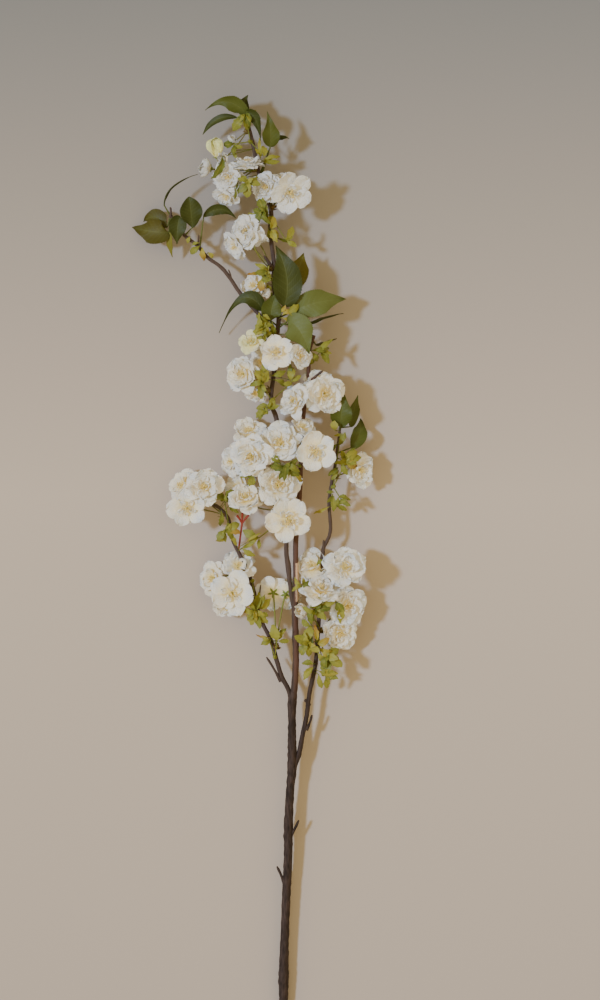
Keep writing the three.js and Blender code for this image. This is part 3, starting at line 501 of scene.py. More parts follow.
@dataclass
class Draft:
    """A mesh in the making, in the sprig's millimetres."""

    points: list[Vector] = field(default_factory=list)
    faces: list[tuple[int, ...]] = field(default_factory=list)
    uvs: list[tuple[float, float]] = field(default_factory=list)
    tints: list[float] = field(default_factory=list)

    def add(self, points: Iterable[Vector], faces: Iterable[Sequence[int]],
            uvs: Iterable[tuple[float, float]], tint: float = 0.0) -> None:
        """Adds a closed shape.

        Args:
            points: Its vertices.
            faces: Its faces, counted from its own first vertex.
            uvs: One pair for each vertex.
            tint: The shape's own share of its finish's second colour.
        """
        first = len(self.points)
        self.points.extend(points)
        self.faces.extend(tuple(first + i for i in face) for face in faces)
        self.uvs.extend(uvs)
        self.tints.extend([tint] * (len(self.points) - first))

    def sheet(self, grid: Grid, thick: float, tint: float = 0.0) -> None:
        """Adds a thin closed sheet.

        Args:
            grid: Rows of points along the sheet, each from its one edge to the other.
            thick: Its thickness.
            tint: As in `add`.
        """
        rows, columns = len(grid), len(grid[0])
        middle = np.array([[tuple(point) for point in row] for row in grid])
        along = np.gradient(middle, axis=0)
        across = np.gradient(middle, axis=1)
        normal = np.cross(along, across)
        normal /= np.maximum(np.linalg.norm(normal, axis=2, keepdims=True), 1e-9)
        sides = [(middle + normal * thick / 2).reshape(-1, 3),
                 (middle - normal * thick / 2).reshape(-1, 3)]
        under = rows * columns

        def at(i: int, j: int) -> int:
            """The vertex of row i and column j on the upper side."""
            return i * columns + j

        faces: list[tuple[int, ...]] = []
        for i in range(rows - 1):
            for j in range(columns - 1):
                quad = (at(i, j), at(i + 1, j), at(i + 1, j + 1), at(i, j + 1))
                faces += [quad, tuple(under + k for k in reversed(quad))]
        rim = [at(i, 0) for i in range(rows)] + [at(rows - 1, j) for j in range(1, columns)]
        rim += [at(i, columns - 1) for i in range(rows - 2, -1, -1)]
        rim += [at(0, j) for j in range(columns - 2, 0, -1)]
        for a, b in zip(rim, rim[1:] + rim[:1]):
            faces.append((b, a, under + a, under + b))
        uvs = [(j / (columns - 1), i / (rows - 1)) for i in range(rows) for j in range(columns)]
        self.add([Vector(p) for p in np.concatenate(sides)], faces, uvs * 2, tint)

    def tube(self, path: Sequence[Vector], radii: Sequence[float], sides: int,
             tint: float = 0.0, rough: float = 0.0) -> None:
        """Adds a closed tube.

        Args:
            path: Points on its axis.
            radii: The radius at each.
            sides: How many sides its section has.
            tint: As in `add`.
            rough: How much its radius wanders, as a share of it.
        """
        count = len(path)
        runs = [(path[min(i + 1, count - 1)] - path[max(i - 1, 0)]).normalized()
                for i in range(count)]
        across = runs[0].orthogonal().normalized()
        points: list[Vector] = []
        uvs: list[tuple[float, float]] = []
        for i, (point, radius, run) in enumerate(zip(path, radii, runs)):
            across = (across - run * across.dot(run)).normalized()
            third = run.cross(across)
            for k in range(sides):
                angle = math.tau * k / sides
                out = across * math.cos(angle) + third * math.sin(angle)
                swell = 1 + rough * noise.noise((point + out * radius) * 0.22)
                points.append(point + out * (radius * swell))
                uvs.append((k / sides, i / (count - 1)))
        faces: list[tuple[int, ...]] = [tuple(reversed(range(sides)))]
        for i in range(count - 1):
            for k in range(sides):
                a, b = i * sides + k, i * sides + (k + 1) % sides
                faces.append((a, b, b + sides, a + sides))
        faces.append(tuple(range((count - 1) * sides, count * sides)))
        self.add(points, faces, uvs, tint)

    def make(self, name: str, finish: Material, unit: float = MM,
             origin: Vector = ORIGIN) -> Object:
        """Makes the object.

        Args:
            name: Its name.
            finish: Its material.
            unit: Metres for each unit of the draft.
            origin: The point of the draft that becomes the object's origin.

        Returns:
            The object, in the scene.
        """
        mesh = bpy.data.meshes.new(name)
        mesh.from_pydata([(point - origin) * unit for point in self.points], [], self.faces)
        layer = mesh.uv_layers.new(name="UVMap")
        corners = np.zeros(len(mesh.loops), np.int32)
        mesh.loops.foreach_get("vertex_index", corners)
        layer.data.foreach_set("uv", np.array(self.uvs, np.float32)[corners].ravel())
        tint = mesh.attributes.new("tint", "FLOAT", "POINT")
        tint.data.foreach_set("value", np.array(self.tints, np.float32))
        mesh.materials.append(finish)
        return smooth(link(bpy.data.objects.new(name, mesh)))


def link(piece: Object) -> Object:
    """Puts an object in the scene."""
    bpy.context.scene.collection.objects.link(piece)
    return piece


def smooth(piece: Object) -> Object:
    """Shades an object smooth, with its sheets' edges kept sharp.

    Args:
        piece: The object.

    Returns:
        The same object.
    """
    piece.data.polygons.foreach_set("use_smooth", [True] * len(piece.data.polygons))
    piece.data.set_sharp_from_angle(angle=math.radians(SHARP_FROM))
    piece.data.update()
    return piece


def evaluated(piece: Object, name: str) -> Object:
    """Makes a plain mesh of an object with its modifiers applied.

    Args:
        piece: The object, which is removed.
        name: The name of the result.

    Returns:
        The result.
    """
    graph = bpy.context.evaluated_depsgraph_get()
    mesh = bpy.data.meshes.new_from_object(piece.evaluated_get(graph), depsgraph=graph)
    bpy.data.objects.remove(piece)
    mesh.name = name
    return link(bpy.data.objects.new(name, mesh))


def tuck_in(piece: Object) -> None:
    """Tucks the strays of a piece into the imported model's box.

    Args:
        piece: The piece.
    """
    place = np.zeros(len(piece.data.vertices) * 3, np.float32)
    piece.data.vertices.foreach_get("co", place)
    for axis, (low, high) in enumerate(zip(LOWEST_CORNER, HIGHEST_CORNER)):
        place[axis::3] = np.clip(place[axis::3], low * MM, high * MM)
    piece.data.vertices.foreach_set("co", place)
    piece.data.update()


def hand_over(piece: Object, slot: str, *nodes: str) -> None:
    """Gives a finished piece to the frame.

    Args:
        piece: The piece.
        slot: Not used.
        nodes: The solids that it stands for.
    """
    tuck_in(piece)
    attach(piece, BODY)
    if nodes:
        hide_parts(*nodes)
    LOG.info("%s: %d faces", piece.name, len(piece.data.polygons))


# --- finishes

class Nodes:
    """A node tree, written in a few words."""

    tree: bpy.types.NodeTree

    def node(self, kind: str, inputs: dict[str | int, object], **options: object) -> bpy.types.Node:
        """Adds a node.

        Args:
            kind: Its type.
            inputs: A value or another node's output for each input.
            options: Its own settings.

        Returns:
            The node.
        """
        made = self.tree.nodes.new(kind)
        for key, value in options.items():
            setattr(made, key, value)
        for key, value in inputs.items():
            if isinstance(value, Link):
                self.tree.links.new(value, made.inputs[key])
            else:
                made.inputs[key].default_value = value
        return made


class Shade(Nodes):
    """A material's node tree."""

    def __init__(self, name: str) -> None:
        """Starts a material with one Principled shader.

        Args:
            name: The material's name.
        """
        self.material = bpy.data.materials.new(name)
        self.material.use_nodes = True
        self.tree = self.material.node_tree
        self.shader = self.tree.nodes["Principled BSDF"]

    def place(self) -> Link:
        """The position on the object."""
        return self.node("ShaderNodeTexCoord", {}).outputs["Object"]

    def stretched(self, scale: Row) -> Link:
        """The position on the object, stretched along its axes."""
        return self.node("ShaderNodeMapping", {"Vector": self.place(), "Scale": tuple(scale)}
                         ).outputs[0]

    def axis(self, which: str, vector: Link | None = None) -> Link:
        """One coordinate of a vector, which is the position on the object by default."""
        return self.node("ShaderNodeSeparateXYZ", {0: vector or self.place()}).outputs[which]

    def sheet(self, which: str) -> Link:
        """The place across (X) or along (Y) a sheet or tube."""
        return self.axis(which, self.node("ShaderNodeUVMap", {}, uv_map="UVMap").outputs[0])

    def attribute(self, name: str) -> Link:
        """A number that the mesh holds."""
        return self.node("ShaderNodeAttribute", {}, attribute_name=name).outputs["Fac"]

    def noise(self, scale: float, detail: float = 3.0, vector: Link | None = None) -> Link:
        """Noise from 0 to 1."""
        return self.node("ShaderNodeTexNoise", {"Vector": vector or self.place(), "Scale": scale,
                                                "Detail": detail}).outputs[0]

    def math(self, kind: str, *values: object) -> Link:
        """The result of a sum on one to three values."""
        return self.node("ShaderNodeMath", dict(enumerate(values)), operation=kind).outputs[0]

    def times(self, first: Link, second: object) -> Link:
        """The product of two values."""
        return self.math("MULTIPLY", first, second)

    def between(self, value: Link, low: float, high: float, start: float = 0.0,
                end: float = 1.0) -> Link:
        """A value carried from one range to another and kept within it."""
        return self.node("ShaderNodeMapRange", {0: value, 1: low, 2: high, 3: start, 4: end}
                         ).outputs[0]

    def ramp(self, value: Link, stops: Sequence[tuple[float, Row]]) -> Link:
        """A colour for each value.

        Args:
            value: From 0 to 1.
            stops: (place, (red, green, blue)) in order.

        Returns:
            The colour.
        """
        made = self.node("ShaderNodeValToRGB", {0: value})
        ramp = made.color_ramp
        while len(ramp.elements) < len(stops):
            ramp.elements.new(0.5)
        for element, (place, colour) in zip(ramp.elements, stops):
            element.position = place
            element.color = (*colour, 1.0)
        return made.outputs[0]

    def mix(self, share: object, first: object, second: object) -> Link:
        """A colour between two colours.

        Args:
            share: How much of the second there is, from 0 to 1.
            first: The first colour.
            second: The second colour.

        Returns:
            The colour.
        """
        made = self.node("ShaderNodeMix", {0: share}, data_type="RGBA")
        for key, value in ((6, first), (7, second)):
            if isinstance(value, Link):
                self.tree.links.new(value, made.inputs[key])
            else:
                made.inputs[key].default_value = (*value, 1.0)
        return made.outputs[2]

    def bump(self, height: Link, depth: float, strength: float) -> None:
        """Raises the surface by a height from 0 to 1.

        Args:
            height: The height.
            depth: What a height of 1 is in metres.
            strength: How much of it shows.
        """
        made = self.node("ShaderNodeBump", {"Height": height, "Distance": depth,
                                            "Strength": strength})
        self.tree.links.new(made.outputs[0], self.shader.inputs["Normal"])

    def finish(self, **inputs: object) -> Material:
        """Sets the shader's inputs, with spaces written as underscores.

        Args:
            inputs: A value or another node's output for each.

        Returns:
            The material.
        """
        for key, value in inputs.items():
            socket = self.shader.inputs[key.replace("_", " ")]
            if isinstance(value, Link):
                self.tree.links.new(value, socket)
            else:
                socket.default_value = value
        return self.material


@dataclass(frozen=True)
class BarkFinish:
    """Matt bark: ridges, pale specks, a red-brown right leader and fork, and a bare patch."""

    dark: Row = (0.014, 0.008, 0.006)
    light: Row = (0.070, 0.042, 0.034)
    tip: Row = (0.128, 0.084, 0.064)
    red: Row = (0.135, 0.062, 0.040)
    bare: Row = (0.74, 0.50, 0.33)

    def material(self) -> Material:
        """Builds the material.

        Returns:
            The material.
        """
        shade = Shade("bark")
        ridges = shade.noise(1.0, 6.0, shade.stretched((520, 95, 520)))
        patches = shade.noise(38.0, 4.0)
        wood = shade.mix(shade.between(ridges, 0.3, 0.72), self.dark, self.light)
        wood = shade.mix(shade.between(patches, 0.45, 0.75, 0.0, 0.55), wood, self.dark)
        # From here on, places across and along the sprig in metres.
        height = shade.axis("Y")
        wood = shade.mix(shade.between(height, -0.13, -0.03, 0.0, 0.62), wood, self.tip)
        place = shade.axis("X")
        right = shade.between(place, 0.0435, 0.045)
        leader = shade.times(shade.between(place, 0.069, 0.066),
                             shade.between(height, -0.03, -0.01, 0.0, 0.75))
        fork = shade.times(shade.between(place, 0.054, 0.052),
                           shade.between(height, -0.12, -0.085, 0.0, 0.75))
        reddish = shade.times(right, shade.math("MAXIMUM", leader, fork))
        wood = shade.mix(reddish, wood, self.red)
        specks = shade.noise(1.0, 2.0, shade.stretched((900, 2100, 900)))
        wood = shade.mix(shade.between(specks, 0.66, 0.74, 0.0, 0.5), wood, self.light)
        ragged = shade.math("MULTIPLY_ADD", shade.noise(420.0), 0.0016, place)
        bare = shade.between(ragged, 0.0466, 0.0472)
        bare = shade.times(bare, shade.between(place, 0.0535, 0.0525))
        stretch = shade.math("MULTIPLY_ADD", shade.noise(300.0), 0.006, height)
        bare = shade.times(bare, shade.between(stretch, -0.0105, -0.0095))
        bare = shade.times(bare, shade.between(stretch, 0.0315, 0.0305))
        wood = shade.mix(bare, wood, self.bare)
        shade.bump(shade.math("ADD", ridges, shade.times(specks, 0.4)), 0.0012, 0.8)
        return shade.finish(Base_Color=wood, Specular_IOR_Level=0.35,
                            Roughness=shade.between(ridges, 0.2, 0.8, 0.9, 0.65))


@dataclass(frozen=True)
class PetalFinish:
    """Matt woven petals, white with a cream heart and yellow foot, with painted shade and glow."""

    white: Row = (0.885, 0.84, 0.75)
    cream: Row = (0.93, 0.80, 0.51)
    foot: Row = (0.84, 0.73, 0.25)
    # Painted shade: the bluish grey of the petals' shaded patches.
    painted_blue_shade: Row = (0.70, 0.76, 0.83)
    # Painted shade: the grey that the petals take on towards the sprig's tip.
    painted_falloff_shade: Row = (0.70, 0.71, 0.71)
    green: Row = (0.72, 0.74, 0.34)
    heart: Row = (1.0, 0.70, 0.20)      # painted glow: its colour, given off at the petals' feet in place of light passed through them
    painted_glow_strength: float = 0.26
    veins: float = 62.0                 # from edge to edge, in radians

    def material(self) -> Material:
        """Builds the material.

        Returns:
            The material.
        """
        shade = Shade("petal")
        along = shade.sheet("Y")
        tint = shade.attribute("tint")
        cloud = shade.noise(75.0, 4.0)
        # Painted shade: a bluish grey laid in noisy patches that grow towards the petals' tips.
        rim = shade.times(shade.between(cloud, 0.38, 0.62), shade.between(along, 0.15, 0.8))
        cloth = shade.mix(rim, self.white, self.painted_blue_shade)
        warmth = shade.times(shade.between(tint, 0.0, 1.0, 0.1, 0.95),
                             shade.between(along, 1.0, 0.2, 0.35, 1.0))
        cloth = shade.mix(warmth, cloth, self.cream)
        foot = shade.times(shade.between(along, 0.44, 0.0),
                           shade.between(tint, 0.0, 1.0, 0.55, 1.0))
        cloth = shade.mix(foot, cloth, self.foot)
        # Painted shade: the petals turn greyer towards the sprig's tip, where less light falls.
        cloth = shade.mix(shade.between(shade.axis("Y"), 0.27, 0.40, 0.0, 0.7), cloth, self.painted_falloff_shade)
        cloth = shade.mix(shade.between(tint, 1.0, 2.0), cloth, self.green)
        veins = shade.math("SINE", shade.times(shade.sheet("X"), self.veins))
        creases = shade.noise(420.0, 3.0)
        relief = shade.math("MULTIPLY_ADD", veins, 0.10, creases)
        shade.bump(relief, 0.0016, 0.6)
        # Painted glow: the petals' feet give off a faint warm light that lightens the shade in each
        # bloom's middle.
        painted_glow = shade.mix(shade.between(along, 0.5, 0.0), (0.0, 0.0, 0.0), self.heart)
        return shade.finish(Base_Color=cloth, Roughness=0.72, Subsurface_Weight=0.18,
                            Subsurface_Radius=(0.003, 0.0026, 0.002), Sheen_Weight=0.15,
                            Sheen_Roughness=0.5, Emission_Color=painted_glow,
                            Emission_Strength=self.painted_glow_strength)


@dataclass(frozen=True)
class StamenFinish:
    """Pale threads with yellow-orange heads."""

    thread: Row = (0.88, 0.80, 0.42)
    head: Row = (0.90, 0.62, 0.14)

    def material(self) -> Material:
        """Builds the material.

        Returns:
            The material.
        """
        shade = Shade("stamen")
        grain = shade.noise(900.0)
        head = shade.mix(shade.between(grain, 0.4, 0.65), self.head, self.thread)
        colour = shade.mix(shade.attribute("ripe"), self.thread, head)
        shade.bump(grain, 0.0002, 0.5)
        return shade.finish(Base_Color=colour, Roughness=0.6)


@dataclass(frozen=True)
class StalkFinish:
    """Satin stalks and buds, lime green to red-brown."""

    green: Row = (0.20, 0.27, 0.035)
    olive: Row = (0.16, 0.12, 0.022)
    red: Row = (0.30, 0.035, 0.022)

    def material(self) -> Material:
        """Builds the material.

        Returns:
            The material.
        """
        shade = Shade("stalk")
        tone = shade.math("MULTIPLY_ADD", shade.noise(260.0), 0.3, shade.attribute("tint"))
        colour = shade.ramp(shade.math("SUBTRACT", tone, 0.15),
                            [(0.0, self.green), (0.5, self.olive), (1.0, self.red)])
        grain = shade.noise(1400.0, 2.0)
        shade.bump(grain, 0.0003, 0.4)
        return shade.finish(Base_Color=colour, Roughness=shade.between(grain, 0.3, 0.7, 0.45, 0.65))


@dataclass(frozen=True)
class LeafletFinish:
    """Satin lime leaflets, from green to yellow, some with a rusty tip."""

    green: Row = (0.110, 0.140, 0.018)
    lime: Row = (0.255, 0.260, 0.036)
    yellow: Row = (0.420, 0.360, 0.055)
    rust: Row = (0.32, 0.15, 0.024)

    def material(self) -> Material:
        """Builds the material.

        Returns:
            The material.
        """
        shade = Shade("leaflet")
        tint = shade.attribute("tint")
        mottle = shade.math("MULTIPLY_ADD", shade.noise(210.0, 4.0), 0.5, tint)
        colour = shade.ramp(shade.math("SUBTRACT", mottle, 0.25),
                            [(0.0, self.green), (0.45, self.lime), (1.0, self.yellow)])
        tip = shade.times(shade.between(shade.sheet("Y"), 0.2, 0.9), shade.between(tint, 0.72, 1.0))
        colour = shade.mix(tip, colour, self.rust)
        rib = shade.between(shade.math("ABSOLUTE", shade.math("SUBTRACT", shade.sheet("X"), 0.5)),
                            0.0, 0.10, 1.0, 0.0)
        colour = shade.mix(shade.times(rib, 0.35), colour, self.yellow)
        shade.bump(shade.math("MULTIPLY_ADD", shade.noise(900.0), 0.4, rib), 0.0004, 0.5)
        return shade.finish(Base_Color=colour, Roughness=0.52, Specular_IOR_Level=0.3,
                            Subsurface_Weight=0.15, Subsurface_Radius=(0.0015, 0.0015, 0.0005))


@dataclass(frozen=True)
class LeafFinish:
    """Coated dark leaves with a pale midrib and side veins."""

    dark: Row = (0.036, 0.046, 0.004)
    green: Row = (0.070, 0.086, 0.009)
    bright: Row = (0.118, 0.142, 0.034)
    olive: Row = (0.066, 0.055, 0.002)
    yellow: Row = (0.190, 0.175, 0.020)
    vein: Row = (0.20, 0.23, 0.08)

    def material(self) -> Material:
        """Builds the material.

        Returns:
            The material.
        """
        shade = Shade("leaf")
        tone = shade.math("MULTIPLY_ADD", shade.noise(70.0, 5.0), 0.18, shade.attribute("tint"))
        colour = shade.ramp(shade.math("SUBTRACT", tone, 0.09),
                            [(0.0, self.dark), (0.30, self.green), (0.55, self.bright),
                             (0.80, self.olive), (1.0, self.yellow)])
        away = shade.math("ABSOLUTE", shade.math("SUBTRACT", shade.sheet("X"), 0.5))
        rib = shade.between(away, 0.0, 0.035, 1.0, 0.0)
        slant = shade.math("MULTIPLY_ADD", away, -0.42, shade.sheet("Y"))
        wave = shade.math("SINE", shade.times(slant, math.tau * LeafBlades.VEINS))
        veins = shade.between(wave, 0.80, 1.0, 0.0, 0.35)
        lines = shade.math("MAXIMUM", rib, veins)
        fibre = shade.math("SINE", shade.times(shade.sheet("X"), 95.0))
        # Painted glow: a paler, noisy band along the middle of each blade, standing in for light on
        # its coat.
        painted_glow = shade.times(shade.between(away, 0.34, 0.05), shade.noise(55.0, 2.0))
        pale = shade.math("MULTIPLY_ADD", painted_glow, 0.24, shade.times(lines, 0.22))
        pale = shade.math("MULTIPLY_ADD", fibre, 0.03, pale)
        colour = shade.mix(pale, colour, self.vein)
        grain = shade.noise(700.0, 4.0)
        shade.bump(shade.math("MULTIPLY_ADD", lines, -0.6, grain), 0.0005, 0.5)
        return shade.finish(Base_Color=colour, Roughness=shade.between(grain, 0.3, 0.7, 0.42, 0.58),
                            Specular_IOR_Level=0.24)


@dataclass(frozen=True)
class FloorFinish:
    """A plain warm grey table top with painted shade, darker towards the tip of the sprig."""

    near: Row = (0.51, 0.435, 0.375)
    middle: Row = (0.58, 0.490, 0.420)
    far: Row = (0.22, 0.222, 0.225)

    def material(self) -> Material:
        """Builds the material.

        Returns:
            The material.
        """
        shade = Shade("table")
        # Painted shade: the colour falls off from the middle towards both ends, most towards the
        # sprig's tip.
        place = shade.between(shade.axis("Y"), -0.45, 0.65)
        colour = shade.ramp(place, [(0.0, self.near), (0.5, self.middle), (1.0, self.far)])
        shade.bump(shade.noise(300.0), 0.0002, 0.2)
        return shade.finish(Base_Color=colour, Roughness=0.9)


def dressed(finish: type) -> Material:
    """A field that holds the material of a finish."""
    return field(default_factory=lambda: finish().material())


@dataclass
class Palette:
    """One material for each finish."""

    bark: Material = dressed(BarkFinish)
    petal: Material = dressed(PetalFinish)
    stamen: Material = dressed(StamenFinish)
    stalk: Material = dressed(StalkFinish)
    leaflet: Material = dressed(LeafletFinish)
    leaf: Material = dressed(LeafFinish)
    floor: Material = dressed(FloorFinish)


# --- wood

@dataclass
class Wood:
    """The woody branch: limbs and spurs joined into one closed surface."""

    palette: Palette
    stem_sides: int = 24
    limb_sides: int = 16
    spur_sides: int = 10
    rough: float = 0.16         # how much the radius wanders
    step: float = 2.6           # length of one segment
    spur_steps: int = 7
    spur_taper: float = 0.55    # the part of a spur's radius that it loses to its tip
    spur_bow: float = 0.8       # how far a spur bows
    spur_swell: float = 0.16    # how much it swells near its tip, and its radius there
    spur_tip: float = 0.35

    def limb(self, name: str, rows: list[Row]) -> Object:
        """One limb as a closed tube.

        Args:
            name: The limb's name.
            rows: Its rows of `LIMBS`.

        Returns:
            The tube.
        """
        curve = LimbCurve(rows)
        length = sum(math.dist(a[:3], b[:3]) for a, b in zip(rows, rows[1:]))
        count = max(int(length / self.step), 2)
        places = [curve.place(i / count) for i in range(count + 1)]
        draft = Draft()
        sides = self.stem_sides if name == "stem" else self.limb_sides
        draft.tube([point for point, _ in places], [radius for _, radius in places], sides,
                   rough=self.rough)
        return draft.make(f"limb_{name}", self.palette.bark)

    def spur(self, index: int, start: Row, end: Row, radius: float) -> Object:
        """One spur as a closed tapered tube that swells a little near its tip.

        Args:
            index: Its place in `SPURS`.
            start: Its foot.
            end: Its tip.
            radius: The radius at its foot.

        Returns:
            The tube.
        """
        steps = self.spur_steps
        foot, tip = Vector(start), Vector(end)
        bend = (tip - foot).orthogonal().normalized() * self.spur_bow
        path = [foot.lerp(tip, i / steps) + bend * math.sin(math.pi * i / steps)
                for i in range(steps + 1)]
        radii = [radius * (1 - self.spur_taper * i / steps
                           + self.spur_swell * math.sin(3 * math.pi * i / steps) * i / steps)
                 for i in range(steps)] + [self.spur_tip * radius]
        draft = Draft()
        draft.tube(path, radii, self.spur_sides, rough=self.rough)
        return draft.make(f"spur_{index}", self.palette.bark)

    def build(self) -> None:
        """Joins the limbs and spurs into one piece."""
        parts = [self.limb(name, rows) for name, rows in LIMBS.items()]
        parts += [self.spur(i, *spur) for i, spur in enumerate(SPURS)]
        whole = parts[0]
        for part in parts[1:]:
            union = whole.modifiers.new("join", "BOOLEAN")
            union.operation = "UNION"
            union.solver = "MANIFOLD"
            union.object = part
        whole = evaluated(whole, "branch")
        for part in parts[1:]:
            bpy.data.objects.remove(part)
        smooth(whole)
        hand_over(whole, "bark", "woody_branch")


# --- shapes that repeat

@dataclass(frozen=True)
class PetalForm:
    """The shape of one petal of unit length, which runs along +X and faces +Z."""

    width: float        # full width
    start: float        # the slope it starts with, in radians
    bend: float         # how much it turns up towards its tip, in radians
    cup: float          # how much its sides rise
    notch: float        # depth of the notch in its tip
    frill: float = 0.05     # depth of the waves along its rim
    phase: float = 0.0      # where those waves start, in radians
    skew: float = 0.0       # how far the tip leans to one side
    rows: int = 8
    columns: int = 6
    thick: float = 0.016
    belly: float = 1.55     # where it is widest: higher is nearer the tip
    blunt: float = 0.62     # how pointed its outline is: lower is blunter
    least: float = 0.16     # its least width, as a share of the full width
    waves: float = 1.1      # waves from edge to edge

    def draft(self) -> Draft:
        """The petal as a closed sheet.

        Returns:
            The sheet.
        """
        grid: Grid = []
        x = z = 0.0
        last = 0.0
        for i in range(self.rows + 1):
            s = 1 - (1 - i / self.rows) ** 1.4
            slope = self.start + self.bend * s * s
            x += (s - last) * math.cos(slope)
            z += (s - last) * math.sin(slope)
            last = s
            full = max(math.sin(math.pi * min(s, 0.992) ** self.belly), 0.05) ** self.blunt
            half = self.width / 2 * max(full, self.least)
            row = []
            for j in range(self.columns + 1):
                w = 2 * j / self.columns - 1
                dip = self.notch * math.exp(-(w / 0.35) ** 2) * s ** 5
                wave = self.frill * s * s * math.sin(math.tau * self.waves * w
                                                     + self.phase + 3 * s)
                row.append(Vector((x - dip, w * half + self.skew * s * s,
                                   z + self.cup * half * abs(w) ** 1.6 + wave)))
            grid.append(row)
        draft = Draft()
        draft.sheet(grid, self.thick)
        return draft


@dataclass(frozen=True)
class LeafletForm:
    """The shape of one lime leaflet of unit length, which runs along +X and faces +Z."""

    width: float
    arch: float             # height of its back
    droop: float            # how far its tip hangs
    fold: float = 0.35      # rise of its edges from its rib
    sway: float = 0.0       # how far its tip swings to one side
    saw: float = 0.10       # depth of the teeth along its edge, for the width
    rows: int = 9
    columns: int = 4
    thick: float = 0.028
    belly: float = 1.2      # where it is widest: higher is nearer the tip
    blunt: float = 0.8      # how pointed its outline is: lower is blunter

    def draft(self) -> Draft:
        """The leaflet as a closed sheet.

        Returns:
            The sheet.
        """
        grid: Grid = []
        for i in range(self.rows + 1):
            s = i / self.rows
            full = max(math.sin(math.pi * min(s, 0.99) ** self.belly), 0.04) ** self.blunt
            half = self.width / 2 * full
            rise = self.arch * math.sin(math.pi * s) - self.droop * s ** 3
            row = []
            for j in range(self.columns + 1):
                w = 2 * j / self.columns - 1
                tooth = 1 + self.saw * w ** 4 * (1 if (i + (w > 0)) % 2 else -1)
                curl = self.fold * half * abs(w) * math.cos(2.2 * s)
                row.append(Vector((s, w * half * tooth + self.sway * s * s, rise + curl)))
            grid.append(row)
        draft = Draft()
        draft.sheet(grid, self.thick)
        return draft


def laid_along(along: Vector) -> Quaternion:
    """The turn that lays a shape along a direction with its face up."""
    side = UP.cross(along).normalized()
    return Matrix((along, side, along.cross(side))).transposed().to_quaternion()


@dataclass
class Spot:
    """Where one copy of a shape goes."""

    at: Vector
    turn: Quaternion
    size: Vector
    kind: int
    tint: float


class NodeTree(Nodes):
    """A Geometry Nodes tree with named inputs."""

    def __init__(self, name: str) -> None:
        """Starts a tree with a geometry input and output.

        Args:
            name: The tree's name.
        """
        self.tree = bpy.data.node_groups.new(name, "GeometryNodeTree")
        face = self.tree.interface
        face.new_socket("Geometry", in_out="INPUT", socket_type="NodeSocketGeometry")
        face.new_socket("Geometry", in_out="OUTPUT", socket_type="NodeSocketGeometry")
        self.source = self.tree.nodes.new("NodeGroupInput")
        self.sink = self.tree.nodes.new("NodeGroupOutput")
        self.keys: dict[str, str] = {}

    def input(self, name: str, kind: str) -> Link:
        """Adds a named input.

        Args:
            name: Its name.
            kind: The type of its socket.

        Returns:
            The socket that gives its value.
        """
        socket = self.tree.interface.new_socket(name, in_out="INPUT", socket_type=kind)
        self.keys[name] = socket.identifier
        return self.source.outputs[name]

    def named(self, name: str, kind: str = "FLOAT") -> Link:
        """The value of an attribute of the geometry."""
        made = self.node("GeometryNodeInputNamedAttribute", {"Name": name}, data_type=kind)
        return made.outputs["Attribute"]

    def finish(self, geometry: Link, material: Link) -> None:
        """Ends the tree: realized instances with their material.

        Args:
            geometry: What the tree has made.
            material: Its material.
        """
        real = self.node("GeometryNodeRealizeInstances", {"Geometry": geometry})
        dressed = self.node("GeometryNodeSetMaterial", {"Geometry": real.outputs[0],
                                                        "Material": material})
        self.tree.links.new(dressed.outputs[0], self.sink.inputs[0])

    def apply(self, piece: Object, values: dict[str, object], name: str) -> Object:
        """Runs the tree on an object.

        Args:
            piece: The object, which is used up.
            values: A value for each named input.
            name: The name of the result.

        Returns:
            The result as a plain mesh.
        """
        modifier = piece.modifiers.new(self.tree.name, "NODES")
        modifier.node_group = self.tree
        for key, value in values.items():
            modifier[self.keys[key]] = value
        return evaluated(piece, name)


